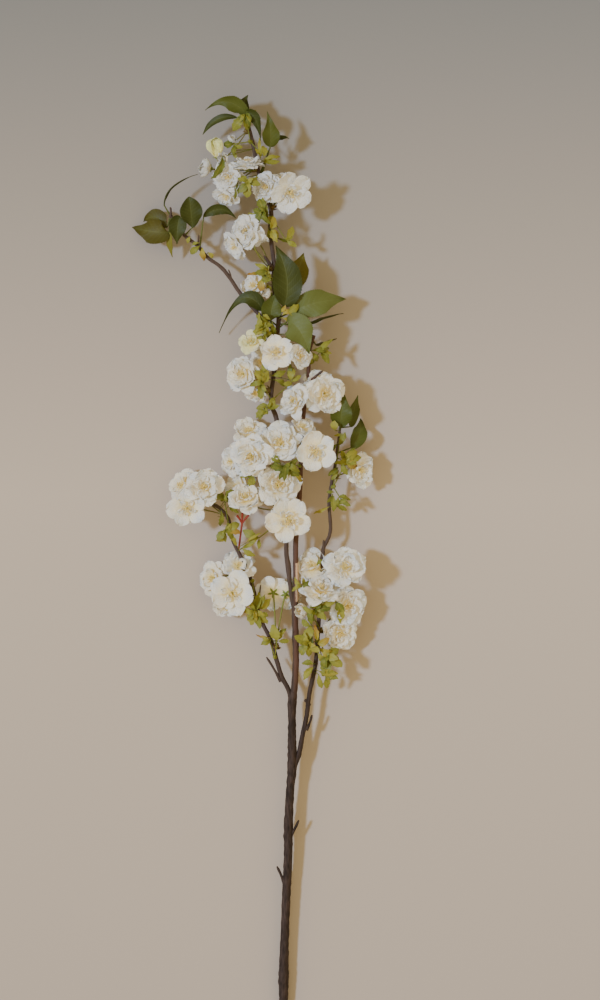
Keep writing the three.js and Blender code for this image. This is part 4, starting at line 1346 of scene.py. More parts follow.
class Scatter(NodeTree):
    """Sets a copy of one of several shapes on each spot, and ruffles the copies a little."""

    def __init__(self, name: str, shapes: Sequence[Draft], finish: Material) -> None:
        """Builds the tree and the shapes that it copies.

        Args:
            name: The tree's name.
            shapes: Shapes of unit length.
            finish: The material of the copies.
        """
        super().__init__(name)
        self.finish_material = finish
        self.shapes = bpy.data.collections.new(f"{name}_shapes")
        for i, draft in enumerate(shapes):
            made = draft.make(f"{name}_shape_{i}", finish, 1.0, Vector())
            made.data.attributes.remove(made.data.attributes["tint"])
            bpy.context.scene.collection.objects.unlink(made)
            self.shapes.objects.link(made)
        shapes_in = self.input("Shapes", "NodeSocketCollection")
        material = self.input("Material", "NodeSocketMaterial")
        depth = self.input("Ruffle depth", "NodeSocketFloat")
        scale = self.input("Ruffle scale", "NodeSocketFloat")
        points = self.node("GeometryNodeMeshToPoints", {0: self.source.outputs[0]})
        kinds = self.node("GeometryNodeCollectionInfo",
                          {"Collection": shapes_in, "Separate Children": True,
                           "Reset Children": True})
        turn = self.node("FunctionNodeEulerToRotation", {0: self.named("turn", "FLOAT_VECTOR")})
        copies = self.node("GeometryNodeInstanceOnPoints", {
            "Points": points.outputs[0], "Instance": kinds.outputs[0], "Pick Instance": True,
            "Instance Index": self.named("kind", "INT"), "Rotation": turn.outputs[0],
            "Scale": self.named("size", "FLOAT_VECTOR")})
        real = self.node("GeometryNodeRealizeInstances", {0: copies.outputs[0]})
        wave = self.node("ShaderNodeTexNoise", {"Scale": scale, "Detail": 1.0})
        middle = self.node("ShaderNodeVectorMath", {0: wave.outputs["Color"],
                                                    1: (0.5, 0.5, 0.5)}, operation="SUBTRACT")
        along = self.node("ShaderNodeSeparateXYZ", {0: self.named("UVMap", "FLOAT_VECTOR")})
        reach = self.node("ShaderNodeMath", {0: along.outputs[1], 1: depth}, operation="MULTIPLY")
        push = self.node("ShaderNodeVectorMath", {0: middle.outputs[0]}, operation="SCALE")
        self.tree.links.new(reach.outputs[0], push.inputs["Scale"])
        moved = self.node("GeometryNodeSetPosition", {"Geometry": real.outputs[0],
                                                      "Offset": push.outputs[0]})
        self.finish(moved.outputs[0], material)

    def copies(self, spots: Sequence[Spot], depth: float, scale: float, name: str) -> Object:
        """Makes the copies.

        Args:
            spots: Where they go, in the sprig's millimetres.
            depth: The depth of the ruffles in metres.
            scale: How many ruffles there are to a metre.
            name: The name of the object.

        Returns:
            One object with every copy, bedded on the table.
        """
        seeds = points_object(name, [spot.at for spot in spots], (
            ("turn", "FLOAT_VECTOR", [tuple(spot.turn.to_euler()) for spot in spots]),
            ("size", "FLOAT_VECTOR", [tuple(spot.size * MM) for spot in spots]),
            ("kind", "INT", [spot.kind for spot in spots]),
            ("tint", "FLOAT", [spot.tint for spot in spots])))
        piece = self.apply(seeds, {"Shapes": self.shapes, "Material": self.finish_material,
                                   "Ruffle depth": depth, "Ruffle scale": scale}, name)
        drop(piece, "turn", "size", "kind")
        bed_down(piece)
        return smooth(piece)


def points_object(name: str, points: Sequence[Vector],
                  layers: Sequence[tuple[str, str, list]]) -> Object:
    """Makes an object of loose points.

    Args:
        name: The name of its mesh.
        points: Its points, in the sprig's millimetres.
        layers: A name, a type and a value for each point, for each of its attributes.

    Returns:
        The object.
    """
    mesh = bpy.data.meshes.new(name)
    mesh.from_pydata([(point - ORIGIN) * MM for point in points], [], [])
    for key, kind, values in layers:
        layer = mesh.attributes.new(key, kind, "POINT")
        slot = "vector" if kind == "FLOAT_VECTOR" else "value"
        layer.data.foreach_set(slot, np.array(values).ravel())
    return link(bpy.data.objects.new(f"{name}_spots", mesh))


def drop(piece: Object, *names: str) -> None:
    """Removes the attributes that only a node tree needed."""
    for name in [name for name in names if name in piece.data.attributes]:
        piece.data.attributes.remove(piece.data.attributes[name])


def bed_down(piece: Object) -> None:
    """Bends what lies too low in a soft piece flat against the table.

    Args:
        piece: The piece.
    """
    count = len(piece.data.vertices)
    place = np.zeros(count * 3, np.float32)
    piece.data.vertices.foreach_get("co", place)
    heights = place[2::3] / MM + ORIGIN.z
    low = heights < BED
    heights[low] = BED * np.exp((heights[low] - BED) / BED)
    place[2::3] = (heights - ORIGIN.z) * MM
    piece.data.vertices.foreach_set("co", place)


# --- blooms

@dataclass(frozen=True)
class BloomPose:
    """Where a bloom sits and how it is turned."""

    base: Vector
    turn: Quaternion
    radius: float

    @property
    def facing(self) -> Vector:
        """The way the bloom looks."""
        return self.turn @ UP


def bloom_pose(row: Bloom, seed: int) -> BloomPose:
    """The pose of one bloom of a bunch.

    Args:
        row: The bloom's row in its bunch.
        seed: The bloom's seed.

    Returns:
        Its pose.
    """
    x, y, z, radius, direction, lean = row[:6]
    tip, way = math.radians(lean), math.radians(direction)
    facing = Vector((math.sin(tip) * math.cos(way), math.sin(tip) * math.sin(way), math.cos(tip)))
    turn = UP.rotation_difference(facing) @ Quaternion(UP, draw(seed, 1) * math.tau)
    return BloomPose(Vector((x, y, z)) - facing * BLOOM_DEPTH * radius, turn, radius)


@dataclass
class Blooms:
    """The petals of every bunch and the stamens of the open blooms."""

    palette: Palette
    vary_rise: float = 20.0     # degrees that a petal's rise varies
    vary_size: float = 0.16
    vary_turn: float = 20.0
    vary_roll: float = 30.0
    stamens: int = 20           # in each bloom
    stamen_length: float = 0.0088       # metres, in a bloom of the radius below
    stamen_thickness: float = 0.00024
    stamen_head: float = 0.00068
    stamen_spread: float = 38.0         # degrees
    stamen_scale: float = 20.0          # a bloom's radius in millimetres
    stamen_seed: int = 4
    heart_height: float = 0.06          # where they grow from, in radii above the base
    ruffle_depth: float = 0.0046    # metres
    ruffle_scale: float = 170.0     # ruffles to a metre
    stamen_sets: list[BloomPose] = field(default_factory=list)
    pieces: list[Object] = field(default_factory=list)

    def forms(self) -> list[PetalForm]:
        """The petals: two that curl back, one cupped, two small crumpled ones, a closed one.

        Returns:
            The shapes, as `Ring.kinds` counts them.
        """
        return [
            PetalForm(width=0.86, start=0.28, bend=-0.70, cup=0.05, notch=0.08, phase=0.4),
            PetalForm(width=0.92, start=0.12, bend=-0.30, cup=0.14, notch=0.06, phase=2.2,
                      skew=0.06),
            PetalForm(width=0.88, start=-0.12, bend=0.55, cup=0.26, notch=0.09, phase=4.0,
                      skew=-0.05),
            PetalForm(width=0.84, start=0.05, bend=0.20, cup=0.30, notch=0.12, frill=0.10,
                      phase=1.0, skew=-0.10),
            PetalForm(width=0.74, start=0.10, bend=-0.60, cup=0.46, notch=0.16, frill=0.12,
                      phase=3.1, skew=0.12),
            PetalForm(width=1.15, start=-0.35, bend=1.75, cup=0.55, notch=0.02, belly=1.3),
        ]

    def petals(self, row: Bloom, seed: int) -> list[Spot]:
        """The spots of one bloom's petals.

        Args:
            row: The bloom's row in its bunch.
            seed: The bloom's seed.

        Returns:
            A spot for each petal.
        """
        pose = bloom_pose(row, seed)
        kind = row[6]
        tone = WARMTH.get(kind, 0.0) + 0.5 * draw(seed, 3)
        spots = []
        for level, ring in enumerate(kind.value):
            for k in range(ring.count):
                use = 100 * level + 10 * k
                angle = ring.turn + 360 / ring.count * k + self.vary_turn * (draw(seed, use) - 0.5)
                rise = ring.rise + self.vary_rise * (draw(seed, use + 1) - 0.5)
                size = pose.radius * ring.length * (1 + self.vary_size
                                                    * (draw(seed, use + 2) - 0.5))
                roll = self.vary_roll * (draw(seed, use + 3) - 0.5)
                turn = (pose.turn @ Quaternion(UP, math.radians(angle))
                        @ Quaternion((0, 1, 0), -math.radians(rise))
                        @ Quaternion((1, 0, 0), math.radians(roll)))
                foot = Quaternion(UP, math.radians(angle)) @ Vector((ring.start, 0, 0.02 * level))
                pick = ring.kinds[int(draw(seed, use + 4) * 2) % 2]
                wide = size * ring.width * (0.92 + 0.2 * draw(seed, use + 5))
                scale = Vector((size, wide, size))
                tint = tone + 0.10 * level + 0.4 * (draw(seed, use + 6) - 0.5)
                if kind not in (GREEN, LIME):
                    tint = min(max(tint, 0.0), 1.0)
                spots.append(Spot(pose.base + pose.turn @ foot * pose.radius, turn, scale, pick,
                                  tint))
        return spots

    def stamen_tree(self) -> NodeTree:
        """The tree that grows stamens from the heart of each bloom.

        Returns:
            The tree.
        """
        made = NodeTree("stamens")
        count = made.input("Count", "NodeSocketInt")
        length = made.input("Length", "NodeSocketFloat")
        thick = made.input("Thickness", "NodeSocketFloat")
        head = made.input("Head size", "NodeSocketFloat")
        spread = made.input("Spread", "NodeSocketFloat")
        seed = made.input("Seed", "NodeSocketInt")
        material = made.input("Material", "NodeSocketMaterial")
        points = made.node("GeometryNodeMeshToPoints", {0: made.source.outputs[0]})
        many = made.node("GeometryNodeDuplicateElements",
                         {"Geometry": points.outputs[0], "Amount": count}, domain="POINT")
        facing = made.node("FunctionNodeAlignRotationToVector",
                           {"Vector": made.named("facing", "FLOAT_VECTOR")}, axis="Z")
        around = self.random(made, seed, 0, 0.0, math.tau)
        lean = self.random(made, seed, 1, 0.0, spread)
        turned = facing
        for axis, angle in (((0, 0, 1), around), ((1, 0, 0), lean)):
            spin = made.node("FunctionNodeAxisAngleToRotation", {"Axis": axis, "Angle": angle})
            turned = made.node("FunctionNodeRotateRotation",
                               {0: turned.outputs[0], 1: spin.outputs[0]}, rotation_space="LOCAL")
        grown = self.random(made, seed, 2, 0.75, 1.15)
        size = made.node("ShaderNodeMath", {0: grown, 1: made.named("size")}, operation="MULTIPLY")
        thread = made.node("GeometryNodeMeshCone",
                           {"Vertices": 4, "Side Segments": 1, "Fill Segments": 1,
                            "Radius Top": thick, "Radius Bottom": thick, "Depth": length})
        top = made.node("ShaderNodeCombineXYZ", {2: length})
        anther = made.node("GeometryNodeMeshIcoSphere", {"Radius": head, "Subdivisions": 1})
        anther = made.node("GeometryNodeTransform", {"Geometry": anther.outputs[0],
                                                     "Translation": top.outputs[0],
                                                     "Scale": (1.0, 1.0, 1.6)})
        marks = [made.node("GeometryNodeStoreNamedAttribute",
                           {"Geometry": part.outputs[0], "Name": "ripe", "Value": ripe},
                           data_type="FLOAT", domain="POINT")
                 for part, ripe in ((thread, 0.0), (anther, 1.0))]
        whole = made.node("GeometryNodeJoinGeometry", {})
        for mark in marks:
            made.tree.links.new(mark.outputs[0], whole.inputs[0])
        copies = made.node("GeometryNodeInstanceOnPoints",
                           {"Points": many.outputs[0], "Instance": whole.outputs[0],
                            "Rotation": turned.outputs[0], "Scale": size.outputs[0]})
        made.finish(copies.outputs[0], material)
        return made

    def random(self, made: NodeTree, seed: Link, shift: int, low: float,
               high: float | Link) -> Link:
        """A random number for each stamen.

        Args:
            made: The tree.
            seed: Its seed.
            shift: What is added to the seed, so that each use has its own numbers.
            low: The least number.
            high: The greatest number.

        Returns:
            The number.
        """
        own = made.node("ShaderNodeMath", {0: seed, 1: float(shift)}, operation="ADD")
        return made.node("FunctionNodeRandomValue", {"Min": low, "Max": high,
                                                     "Seed": own.outputs[0]},
                         data_type="FLOAT").outputs[1]

    def build_stamens(self) -> None:
        """Makes the stamens of every open bloom in one piece."""
        sets = self.stamen_sets
        hearts = [pose.base + pose.facing * self.heart_height * pose.radius for pose in sets]
        spots = points_object("stamen", hearts, (
            ("facing", "FLOAT_VECTOR", [tuple(pose.facing) for pose in sets]),
            ("size", "FLOAT", [pose.radius / self.stamen_scale for pose in sets])))
        values = {"Count": self.stamens, "Length": self.stamen_length,
                  "Thickness": self.stamen_thickness, "Head size": self.stamen_head,
                  "Spread": math.radians(self.stamen_spread), "Seed": self.stamen_seed,
                  "Material": self.palette.stamen}
        piece = self.stamen_tree().apply(spots, values, "stamens")
        drop(piece, "facing", "size")
        smooth(piece)
        hand_over(piece, "petal")

    def build(self) -> None:
        """Makes the petals of each bunch, then the stamens."""
        scatter = Scatter("petal", [form.draft() for form in self.forms()], self.palette.petal)
        for b, bunch in enumerate(BUNCHES):
            spots = []
            for i, row in enumerate(bunch.blooms):
                seed = b * 10 + i
                spots += self.petals(row, seed)
                if row[6] not in (BUD, GREEN):
                    self.stamen_sets.append(bloom_pose(row, seed))
            piece = scatter.copies(spots, self.ruffle_depth, self.ruffle_scale,
                                   f"petals_{bunch.name}")
            hand_over(piece, "petal", f"blooms_{bunch.name}")
            self.pieces.append(piece)
        self.build_stamens()


# --- stalks

def bud_root(bunch: Bunch, y: float, parts: Sequence[Row]) -> tuple[Vector, Vector]:
    """Where a bud sits on the wood.

    Args:
        bunch: The bunch that grows from it.
        y: Its height on the limb.
        parts: The rows of what grows from it.

    Returns:
        The middle of the bud and the way it leans.
    """
    point, radius = LimbCurve(LIMBS[bunch.limb]).at_height(y)
    middle = sum((Vector(row[:3]) for row in parts), Vector()) / len(parts)
    lean = Vector((middle.x - point.x, 0, max(middle.z - point.z, LEAST_LEAN))).normalized()
    return point + lean * (radius + BUD_LIFT), lean


@dataclass
class Stalks:
    """The flower stalks, their green cups and the buds that they grow from."""

    palette: Palette
    radius: float = 0.62
    widen: float = 0.45         # growth in radius towards the bloom
    steps: int = 12
    cup_steps: int = 6
    cup_length: float = 4.2
    cup_radius: float = 2.3
    sepals: int = 5
    sepal: Row = (0.30, 2.4, 0.5)   # its length in bloom radii, its width and its rise
    bud_length: float = 6.4
    scales: int = 6                 # on each bud
    scale: Row = (4.6, 2.6, 0.8)    # a scale's least length, its width and its rise
    scale_range: float = 1.6
    fork_radius: float = 1.0
    fork_bunch: str = "low_heart"   # the bunch with a red stalk that forks in three
    fork_foot: Row = (-47.0, 564.0, 26.0)
    fork: Row = (-43.5, 590.0, 38.0)
    fork_tips: tuple[Row, ...] = ((-48.5, 598.5, 43.0), (-43.0, 601.0, 44.0), (-36.5, 599.0, 43.0))

    def small_blade(self, draft: Draft, foot: Vector, along: Vector, face: Vector, size: Row,
                    tint: float) -> None:
        """Adds a small pointed scale or sepal.

        Args:
            draft: The draft.
            foot: Where it starts.
            along: The way it points.
            face: The way it looks.
            size: Its length, width and the rise of its tip.
            tint: As in `Draft.add`.
        """
        length, width, rise = size
        side = face.cross(along).normalized()
        grid: Grid = []
        for i in range(5):
            s = i / 4
            half = width / 2 * max(math.sin(math.pi * (0.16 + 0.83 * s)), 0.05)
            spine = foot + along * (length * s) + face * (rise * s * s)
            grid.append([spine + side * (w * half) + face * (0.25 * half * abs(w))
                         for w in (-1.0, 0.0, 1.0)])
        draft.sheet(grid, 0.35, tint)

    def bud(self, draft: Draft, root: Vector, lean: Vector, seed: int, tint: float) -> None:
        """Adds the bud on the wood, with its scales.

        Args:
            draft: The draft.
            root: Its middle.
            lean: The way it leans.
            seed: The bunch's number.
            tint: As in `Draft.add`.
        """
        axis = (lean + Vector((0, 0.5, 0))).normalized()
        path = [root + axis * (self.bud_length * (i / 6 - 0.5)) for i in range(7)]
        radii = [0.9 + 1.6 * math.sin(math.pi * (0.12 + 0.8 * i / 6)) for i in range(7)]
        draft.tube(path, radii, 9, tint, 0.25)
        length, width, rise = self.scale
        for k in range(self.scales):
            way = Quaternion(axis, math.radians(360 / self.scales * k + 40 * draw(seed, 80 + k)))
            out = way @ axis.orthogonal().normalized()
            foot = root - axis * 2.2 + out * 2.0
            size = (length + self.scale_range * draw(seed, 90 + k), width, rise)
            self.small_blade(draft, foot, (axis * 1.0 + out * 0.35).normalized(), out, size,
                             tint)

    def flower_stalk(self, draft: Draft, pose: BloomPose, root: Vector, tint: float) -> None:
        """Adds one stalk with the cup and the sepals behind its bloom.

        Args:
            draft: The draft.
            pose: The pose of its bloom.
            root: Where it grows from.
            tint: As in `Draft.add`.
        """
        facing = pose.facing
        reach = (pose.base - root).length
        via = pose.base.lerp(root, 0.35) - facing * min(0.3 * reach, 14.0)
        clear = root.z + 3 - 0.55 * abs(via.x - root.x)
        via.z = max(via.z, clear, BED)
        foot = pose.base - facing * self.cup_length
        foot.z = settle(foot.z)
        steps = self.steps
        path = [quadratic(root, via, foot, i / steps) for i in range(steps + 1)]
        radii = [self.radius * (1 + self.widen * i / steps) for i in range(steps + 1)]
        draft.tube(path, radii, 8, tint)
        steps = self.cup_steps
        cup = [foot.lerp(pose.base, i / steps) for i in range(steps + 1)]
        sizes = [blend(self.radius * 1.3, self.cup_radius, (i / steps) ** 0.6)
                 * (1 - 0.25 * (i == 0)) for i in range(steps + 1)]
        draft.tube(cup, sizes, 10, 0.25 * tint)
        length, width, rise = self.sepal
        for k in range(self.sepals):
            way = pose.turn @ Quaternion(UP, math.tau * (k + 0.5) / self.sepals)
            out = way @ Vector((1, 0, 0.12)).normalized()
            start = pose.base - facing * 0.7 + out * self.cup_radius * 0.6
            self.small_blade(draft, start, out, -facing, (length * pose.radius, width, rise),
                             0.25 * tint)

    def red_fork(self, draft: Draft) -> None:
        """Adds the red stalk that forks in three.

        Args:
            draft: The draft.
        """
        foot, fork = Vector(self.fork_foot), Vector(self.fork)
        path = [foot.lerp(fork, i / 6) for i in range(7)]
        draft.tube(path, [self.fork_radius] * 7, 8, 1.2)
        for tip in self.fork_tips:
            via = fork.lerp(Vector(tip), 0.4) + Vector((0, 1.5, 0))
            draft.tube([quadratic(fork, via, Vector(tip), i / 5) for i in range(6)],
                       [self.fork_radius * (0.8 + 0.1 * i) for i in range(6)], 8, 1.2)

    def build(self) -> None:
        """Makes the stalks of each bunch."""
        for b, bunch in enumerate(BUNCHES):
            draft = Draft()
            root, lean = bud_root(bunch, bunch.y, bunch.blooms)
            tint = 0.15 + 0.3 * draw(b, 70)
            self.bud(draft, root, lean, b, 0.55)
            for i, row in enumerate(bunch.blooms):
                self.flower_stalk(draft, bloom_pose(row, b * 10 + i), root, tint)
            if bunch.name == self.fork_bunch:
                self.red_fork(draft)
            for point in draft.points:
                point.z = settle(point.z)
            piece = draft.make(f"stalks_{bunch.name}", self.palette.stalk)
            hand_over(piece, "leaflet", f"blooms_{bunch.name}")


# --- lime leaflets

@dataclass
class Leaflets:
    """The lime leaflets of every bunch, on their short stalks."""

    palette: Palette
    least_rise: float = -0.1    # how far a leaflet rises for its length: least and range
    range_rise: float = 0.7
    tip_share: float = 0.7      # of that rise that is left at the tip
    tilt: float = 0.5
    stalk_radius: float = 0.6
    tier_from: int = 4          # whorls of this many leaflets have a second, shorter tier
    tier_size: float = 0.62
    tier_rise: float = 42.0     # degrees that the second tier stands up from the first
    sprout_stalk: float = 0.42
    sprout_roll: float = 0.9    # radians that a single leaflet's roll varies
    bud_length: float = 5.4
    ruffle_depth: float = 0.0042    # metres
    ruffle_scale: float = 190.0     # ruffles to a metre

    def forms(self) -> list[LeafletForm]:
        """The shapes of the leaflets: plain, broad, drooping and swept.

        Returns:
            The shapes.
        """
        return [
            LeafletForm(width=0.44, arch=0.12, droop=0.05, sway=0.06),
            LeafletForm(width=0.58, arch=0.16, droop=0.20, fold=0.25, belly=1.5),
            LeafletForm(width=0.42, arch=0.24, droop=0.38, fold=0.6, sway=-0.10),
            LeafletForm(width=0.50, arch=0.08, droop=-0.14, fold=0.8, sway=0.14, belly=0.9),
        ]

    def spots(self, row: Row, seed: int) -> list[Spot]:
        """The spots of one whorl's leaflets.

        Args:
            row: The whorl's row in its bunch.
            seed: The whorl's seed.

        Returns:
            A spot for each leaflet.
        """
        x, y, z, count, length, first, sweep = row[:7]
        middle = Vector((x, y, z))
        spacing = min(sweep / (count - 1), 360 / count)
        tone = row[7] if len(row) > 7 else draw(seed, 5)
        made = []
        for k in range(int(count)):
            way = math.radians(first + spacing * (k + 0.7 * (draw(seed, 80 + k) - 0.5)))
            size = length * (0.7 + 0.55 * draw(seed, 20 + k))
            foot = middle + Vector(draw(seed, 85 + 5 * axis + k) - 0.5 for axis in range(3)) * 3
            rise = self.least_rise + self.range_rise * draw(seed, 40 + k)
            roll = math.atan(2.7 * self.tilt * (draw(seed, 60 + k) - 0.5))
            along = Vector((math.cos(way), math.sin(way), self.tip_share * rise))
            reach = along.length * size
            along.normalize()
            turn = laid_along(along) @ Quaternion((1, 0, 0), roll)
            broad = 0.9 + 0.3 * draw(seed, 50 + k)
            tint = 0.35 * tone + 0.45 * draw(seed, 10 + k)
            kind = int(4 * draw(seed, 30 + k)) % 4
            made.append(Spot(foot, turn, Vector((reach, reach * broad, reach)), kind, tint))
            if count >= self.tier_from:
                lift = Quaternion(UP, math.radians(spacing / 2)) @ turn @ Quaternion(
                    (0, 1, 0), -math.radians(self.tier_rise * (0.6 + 0.6 * draw(seed, 70 + k))))
                small = reach * self.tier_size * (0.8 + 0.4 * draw(seed, 75 + k))
                made.append(Spot(foot, lift, Vector((small, small * broad, small)),
                                 (kind + 1) % 4, min(1.0, tint + 0.1)))
        return made

    def sprout(self, row: Row, seed: int) -> Spot:
        """The spot of one single leaflet.

        Args:
            row: Its row of `SPROUTS`.
            seed: Its seed.

        Returns:
            The spot.
        """
        foot, tip = Vector(row[:3]), Vector(row[3:6])
        along = tip - foot
        reach = along.length
        along.normalize()
        turn = laid_along(along) @ Quaternion((1, 0, 0), self.sprout_roll * (draw(seed, 2) - 0.5))
        kind = int(4 * draw(seed, 3)) % 4
        wide = row[6] / self.forms()[kind].width
        return Spot(foot, turn, Vector((reach, wide, reach)), kind, row[7])

    def sprouts(self, scatter: Scatter) -> None:
        """Makes the single leaflets, each on a thin stalk from the nearest wood.

        Args:
            scatter: What sets the leaflets on their spots.
        """
        wood = [LimbCurve(rows).place(i / 150)[0] for rows in LIMBS.values() for i in range(151)]
        draft = Draft()
        for row in SPROUTS:
            foot = Vector(row[:3])
            root = min(wood, key=lambda point: (point - foot).length)
            via = root.lerp(foot, 0.5) + UP * 1.5
            draft.tube([quadratic(root, via, foot, i / 6) for i in range(7)],
                       [self.sprout_stalk] * 7, 6, 0.3 * row[7])
        piece = scatter.copies([self.sprout(row, 900 + i) for i, row in enumerate(SPROUTS)],
                               self.ruffle_depth, self.ruffle_scale, "lime_sprouts")
        join([piece, draft.make("sprout_stalks", self.palette.leaflet)])
        hand_over(piece, "leaflet")

    def stems(self, bunch: Bunch, root: Vector, lean: Vector) -> Object:
        """The bud and the short stalks that carry a bunch's whorls.

        Args:
            bunch: The bunch.
            root: The middle of the bud.
            lean: The way it leans.

        Returns:
            The bud and the stalks.
        """
        draft = Draft()
        axis = lean + Vector((0, 0.4, 0))
        path = [root + axis * (self.bud_length * (i / 5 - 0.5)) for i in range(6)]
        draft.tube(path, [0.8 + 1.5 * math.sin(math.pi * (0.15 + 0.75 * i / 5))
                          for i in range(6)], 8, 0.3, 0.25)
        for row in bunch.whorls:
            middle = Vector(row[:3])
            via = root.lerp(middle, 0.5) + UP * 2
            draft.tube([quadratic(root, via, middle, i / 8) for i in range(9)],
                       [self.stalk_radius * (1 + 0.2 * math.cos(3 * i)) for i in range(9)], 8, 0.2)
        return draft.make("stems", self.palette.leaflet)

    def build(self) -> None:
        """Makes the leaflets of each bunch."""
        scatter = Scatter("leaflet", [form.draft() for form in self.forms()], self.palette.leaflet)
        for b, bunch in enumerate(BUNCHES):
            y = bunch.leaf_y if bunch.leaf_y is not None else bunch.y - 11
            root, lean = bud_root(bunch, y, bunch.whorls)
            spots: list[Spot] = []
            for i, row in enumerate(bunch.whorls):
                spots += self.spots(row, 500 + b * 10 + i)
            piece = scatter.copies(spots, self.ruffle_depth, self.ruffle_scale,
                                   f"lime_{bunch.name}")
            join([piece, self.stems(bunch, root, lean)])
            hand_over(piece, "leaflet", f"leaflets_{bunch.name}")
        self.sprouts(scatter)


def join(pieces: Sequence[Object]) -> None:
    """Joins several objects into the first.

    Args:
        pieces: The objects.
    """
    with bpy.context.temp_override(active_object=pieces[0], object=pieces[0],
                                   selected_objects=list(pieces),
                                   selected_editable_objects=list(pieces)):
        bpy.ops.object.join()


# --- large leaves

@dataclass
class LeafBlades:
    """The large leaves: a stalk, a midrib and a folded, veined blade each."""

    VEINS = 9       # side veins

    palette: Palette
    rows: int = 54
    columns: int = 14
    thick: float = 0.45
    fold: float = 0.22
    relief: float = 0.30        # depth of the side veins
    wave: float = 0.05          # depth of the waves along the edge, for the width
    waves: float = 2.2
    tooth: float = 0.035        # depth of the teeth along the edge, for the width
    teeth: int = 27
    slant: float = 0.21         # how far a side vein runs on towards the tip at the edge
    stalk_radius: float = 0.75
    midrib: Row = (0.62, 0.2)   # its radius at the base and at the tip
    midrib_drop: float = 0.35   # how far its axis lies under the blade

    def frame(self, start: Vector, via: Vector, end: Vector, stalk_run: Vector, face: float,
              t: float) -> tuple[Vector, Vector, Vector]:
        """The point, the side and the normal of a blade at a share of its length.

        Args:
            start: The base of the blade.
            via: The point that its curve bends towards.
            end: Its tip.
            stalk_run: The way its stalk runs.
            face: Degrees that it is turned about its run.
            t: The share of its length.

        Returns:
            The point, the side and the normal.
        """
        run = ((via - start) * (1 - t) + (end - via) * t).normalized()
        ease = max(0.0, 1 - 5 * t)
        run = (run + stalk_run * ease).normalized()
        up = Quaternion(run, math.radians(face)) @ UP
        side = run.cross(up).normalized()
        return quadratic(start, via, end, t), side, side.cross(run)

    def outline(self, t: float, slim: float) -> float:
        """The width of a blade along its length, as a share of its full width.

        Args:
            t: The share of its length.
            slim: How early it narrows to a drawn-out tip.

        Returns:
            The share of its width.
        """
        blade = math.sin(math.pi * min(t, 0.995) ** (0.76 - 0.16 * slim)) ** 0.82
        begin = 0.62 - 0.30 * slim
        drawn = 1 - (0.45 + 0.43 * slim) * max(0.0, (t - begin) / (1 - begin)) ** 0.8
        return max(0.03, blade * drawn * 1.04)

    def one(self, name: str) -> Object:
        """Makes one leaf.

        Args:
            name: Its name in `LEAVES`.

        Returns:
            The leaf.
        """
        leaf = LEAVES[name]
        start, middle, end = Vector(leaf.base), Vector(leaf.via), Vector(leaf.tip)
        root, width, tone = Vector(leaf.foot), leaf.width, leaf.tone
        stalk_run = (start - root).normalized()
        seed = sum(ord(letter) for letter in name)
        phase = math.tau * draw(seed, 1)
        grid: Grid = []
        spine: list[Vector] = []
        for i in range(self.rows + 1):
            t = i / self.rows
            point, side, normal = self.frame(start, middle, end, stalk_run, leaf.face, t)
            half = width / 2 * self.outline(t, leaf.slim)
            row = []
            for j in range(self.columns + 1):
                w = 2 * j / self.columns - 1
                away = abs(w)
                saw = 1 + self.tooth * away ** 6 * math.cos(math.tau * self.teeth * t)
                slant = t - self.slant * away
                vein = max(0.0, math.sin(math.tau * self.VEINS * slant)) ** 3
                lift = self.fold * half * away ** 1.15 - self.relief * vein * (1 - away)
                swing = math.tau * self.waves * t + phase + (1.3 if w > 0 else 0.0)
                lift += self.wave * width * away ** 2 * math.sin(swing)
                row.append(point - side * (w * half * saw) + normal * lift)
            grid.append(row)
            spine.append(point - normal * self.midrib_drop)
        draft = Draft()
        draft.sheet(grid, self.thick, tone.value)
        ribs = self.rows - 3
        draft.tube(spine[:ribs:2], [blend(*self.midrib, i / ribs) for i in range(0, ribs, 2)], 6,
                   tone.value)
        stalk = [root.lerp(start, i / 6) for i in range(7)] + [spine[2]]
        draft.tube(stalk, [self.stalk_radius * (1.25 - 0.06 * i) for i in range(8)], 8,
                   Tone.BRIGHT.value)
        for point in draft.points:
            point.z = settle(point.z)
        return draft.make(f"blade_{name}", self.palette.leaf)

    def build(self) -> None:
        """Makes every large leaf."""
        for name in LEAVES:
            hand_over(self.one(name), "leaf", f"leaf_{name}")


# --- stage

@dataclass(frozen=True)
class Sun:
    """A far lamp that points at the middle of the table."""

    name: str
    energy: float
    colour: Row
    at: Row             # in metres
    angle: float        # how wide it looks, in degrees

    def hang(self) -> Object:
        """Adds the lamp.

        Returns:
            The lamp.
        """
        data = bpy.data.lights.new(self.name, "SUN")
        data.energy = self.energy
        data.color = tuple(self.colour)
        data.angle = math.radians(self.angle)
        lamp = link(bpy.data.objects.new(self.name, data))
        lamp.location = tuple(self.at)
        lamp.rotation_euler = (-Vector(self.at)).to_track_quat("-Z", "Y").to_euler()
        return lamp


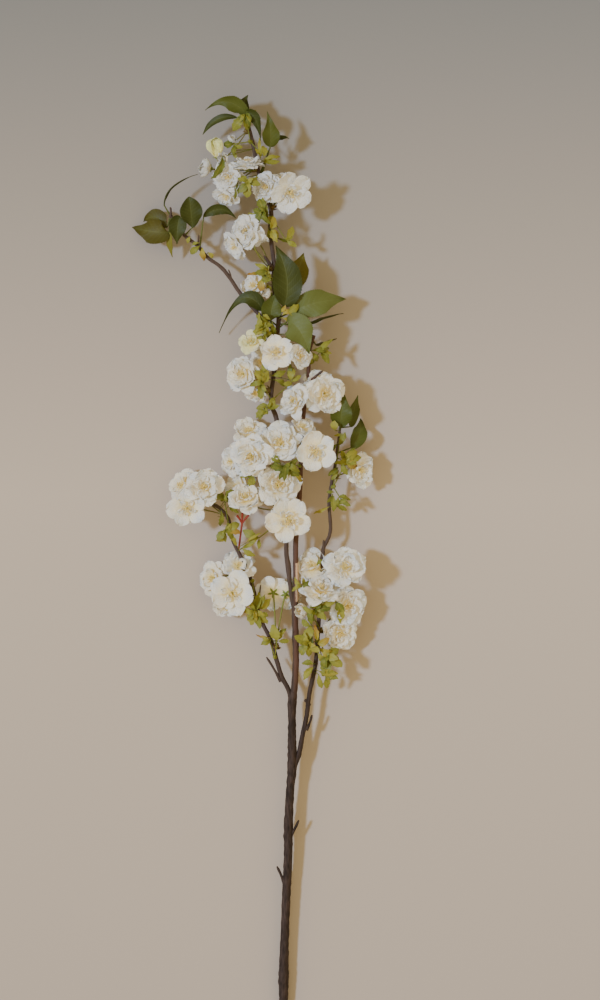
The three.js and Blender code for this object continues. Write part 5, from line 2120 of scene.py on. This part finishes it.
@dataclass
class Stage:
    """The table, the lights and the camera that looks straight down."""

    palette: Palette
    table: float = 12.0                 # metres across
    view_centre: Row = (50.66, 93.97)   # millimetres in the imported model's frame
    view_height: float = 1.05           # what the frame's height takes in, in metres
    distance: float = 4.5
    sensor: float = 36.0
    sprig_height: float = 0.03          # the height at which the view has its true scale
    key: Sun = Sun("key", 2.52, (0.545, 0.714, 1.0), (-2.05, 0.22, 2.6), 5.6)
    fill: Sun = Sun("petal_fill", 0.80, (0.80, 0.90, 1.0), (1.9, 0.3, 2.2), 70.0)
    room: Row = (1.0, 0.793, 0.43)      # the colour of the light all round, and its strength
    room_strength: float = 0.88

    def floor(self) -> None:
        """Makes the table top."""
        half = self.table / 2
        mesh = bpy.data.meshes.new("table")
        mesh.from_pydata([(-half, -half, 0), (half, -half, 0), (half, half, 0), (-half, half, 0)],
                         [], [(0, 1, 2, 3)])
        mesh.materials.append(self.palette.floor)
        link(bpy.data.objects.new("table", mesh))

    def lights(self) -> None:
        """Hangs a key light on the left and lights the room softly."""
        self.key.hang()
        world = bpy.data.worlds.new("room")
        bpy.context.scene.world = world
        world.use_nodes = True
        back = world.node_tree.nodes["Background"]
        back.inputs["Color"].default_value = (*self.room, 1.0)
        back.inputs["Strength"].default_value = self.room_strength

    def fill_petals(self, petals: Sequence[Object]) -> None:
        """Lights the petals softly from the right, for the light that they pass to each other.

        Args:
            petals: The pieces that the light falls on.
        """
        lit = bpy.data.collections.new("petals_lit")
        for piece in petals:
            lit.objects.link(piece)
        self.fill.hang().light_linking.receiver_collection = lit

    def camera(self) -> None:
        """Sets the camera over the sprig."""
        data = bpy.data.cameras.new("camera")
        data.sensor_fit = "VERTICAL"
        data.sensor_height = self.sensor
        data.lens = self.sensor * self.distance / self.view_height
        camera = link(bpy.data.objects.new("camera", data))
        x, y = self.view_centre
        camera.location = (x * MM, y * MM, self.distance + self.sprig_height)
        bpy.context.scene.camera = camera

    def build(self) -> None:
        """Makes the stage."""
        self.floor()
        self.lights()
        self.camera()


def main() -> None:
    """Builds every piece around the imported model."""
    logging.basicConfig(level=logging.INFO, format="%(name)s: %(message)s")
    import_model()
    palette = Palette()
    stage = Stage(palette)
    stage.build()
    Wood(palette).build()
    blooms = Blooms(palette)
    blooms.build()
    stage.fill_petals(blooms.pieces)
    Stalks(palette).build()
    Leaflets(palette).build()
    LeafBlades(palette).build()


if __name__ == "__main__":
    main()
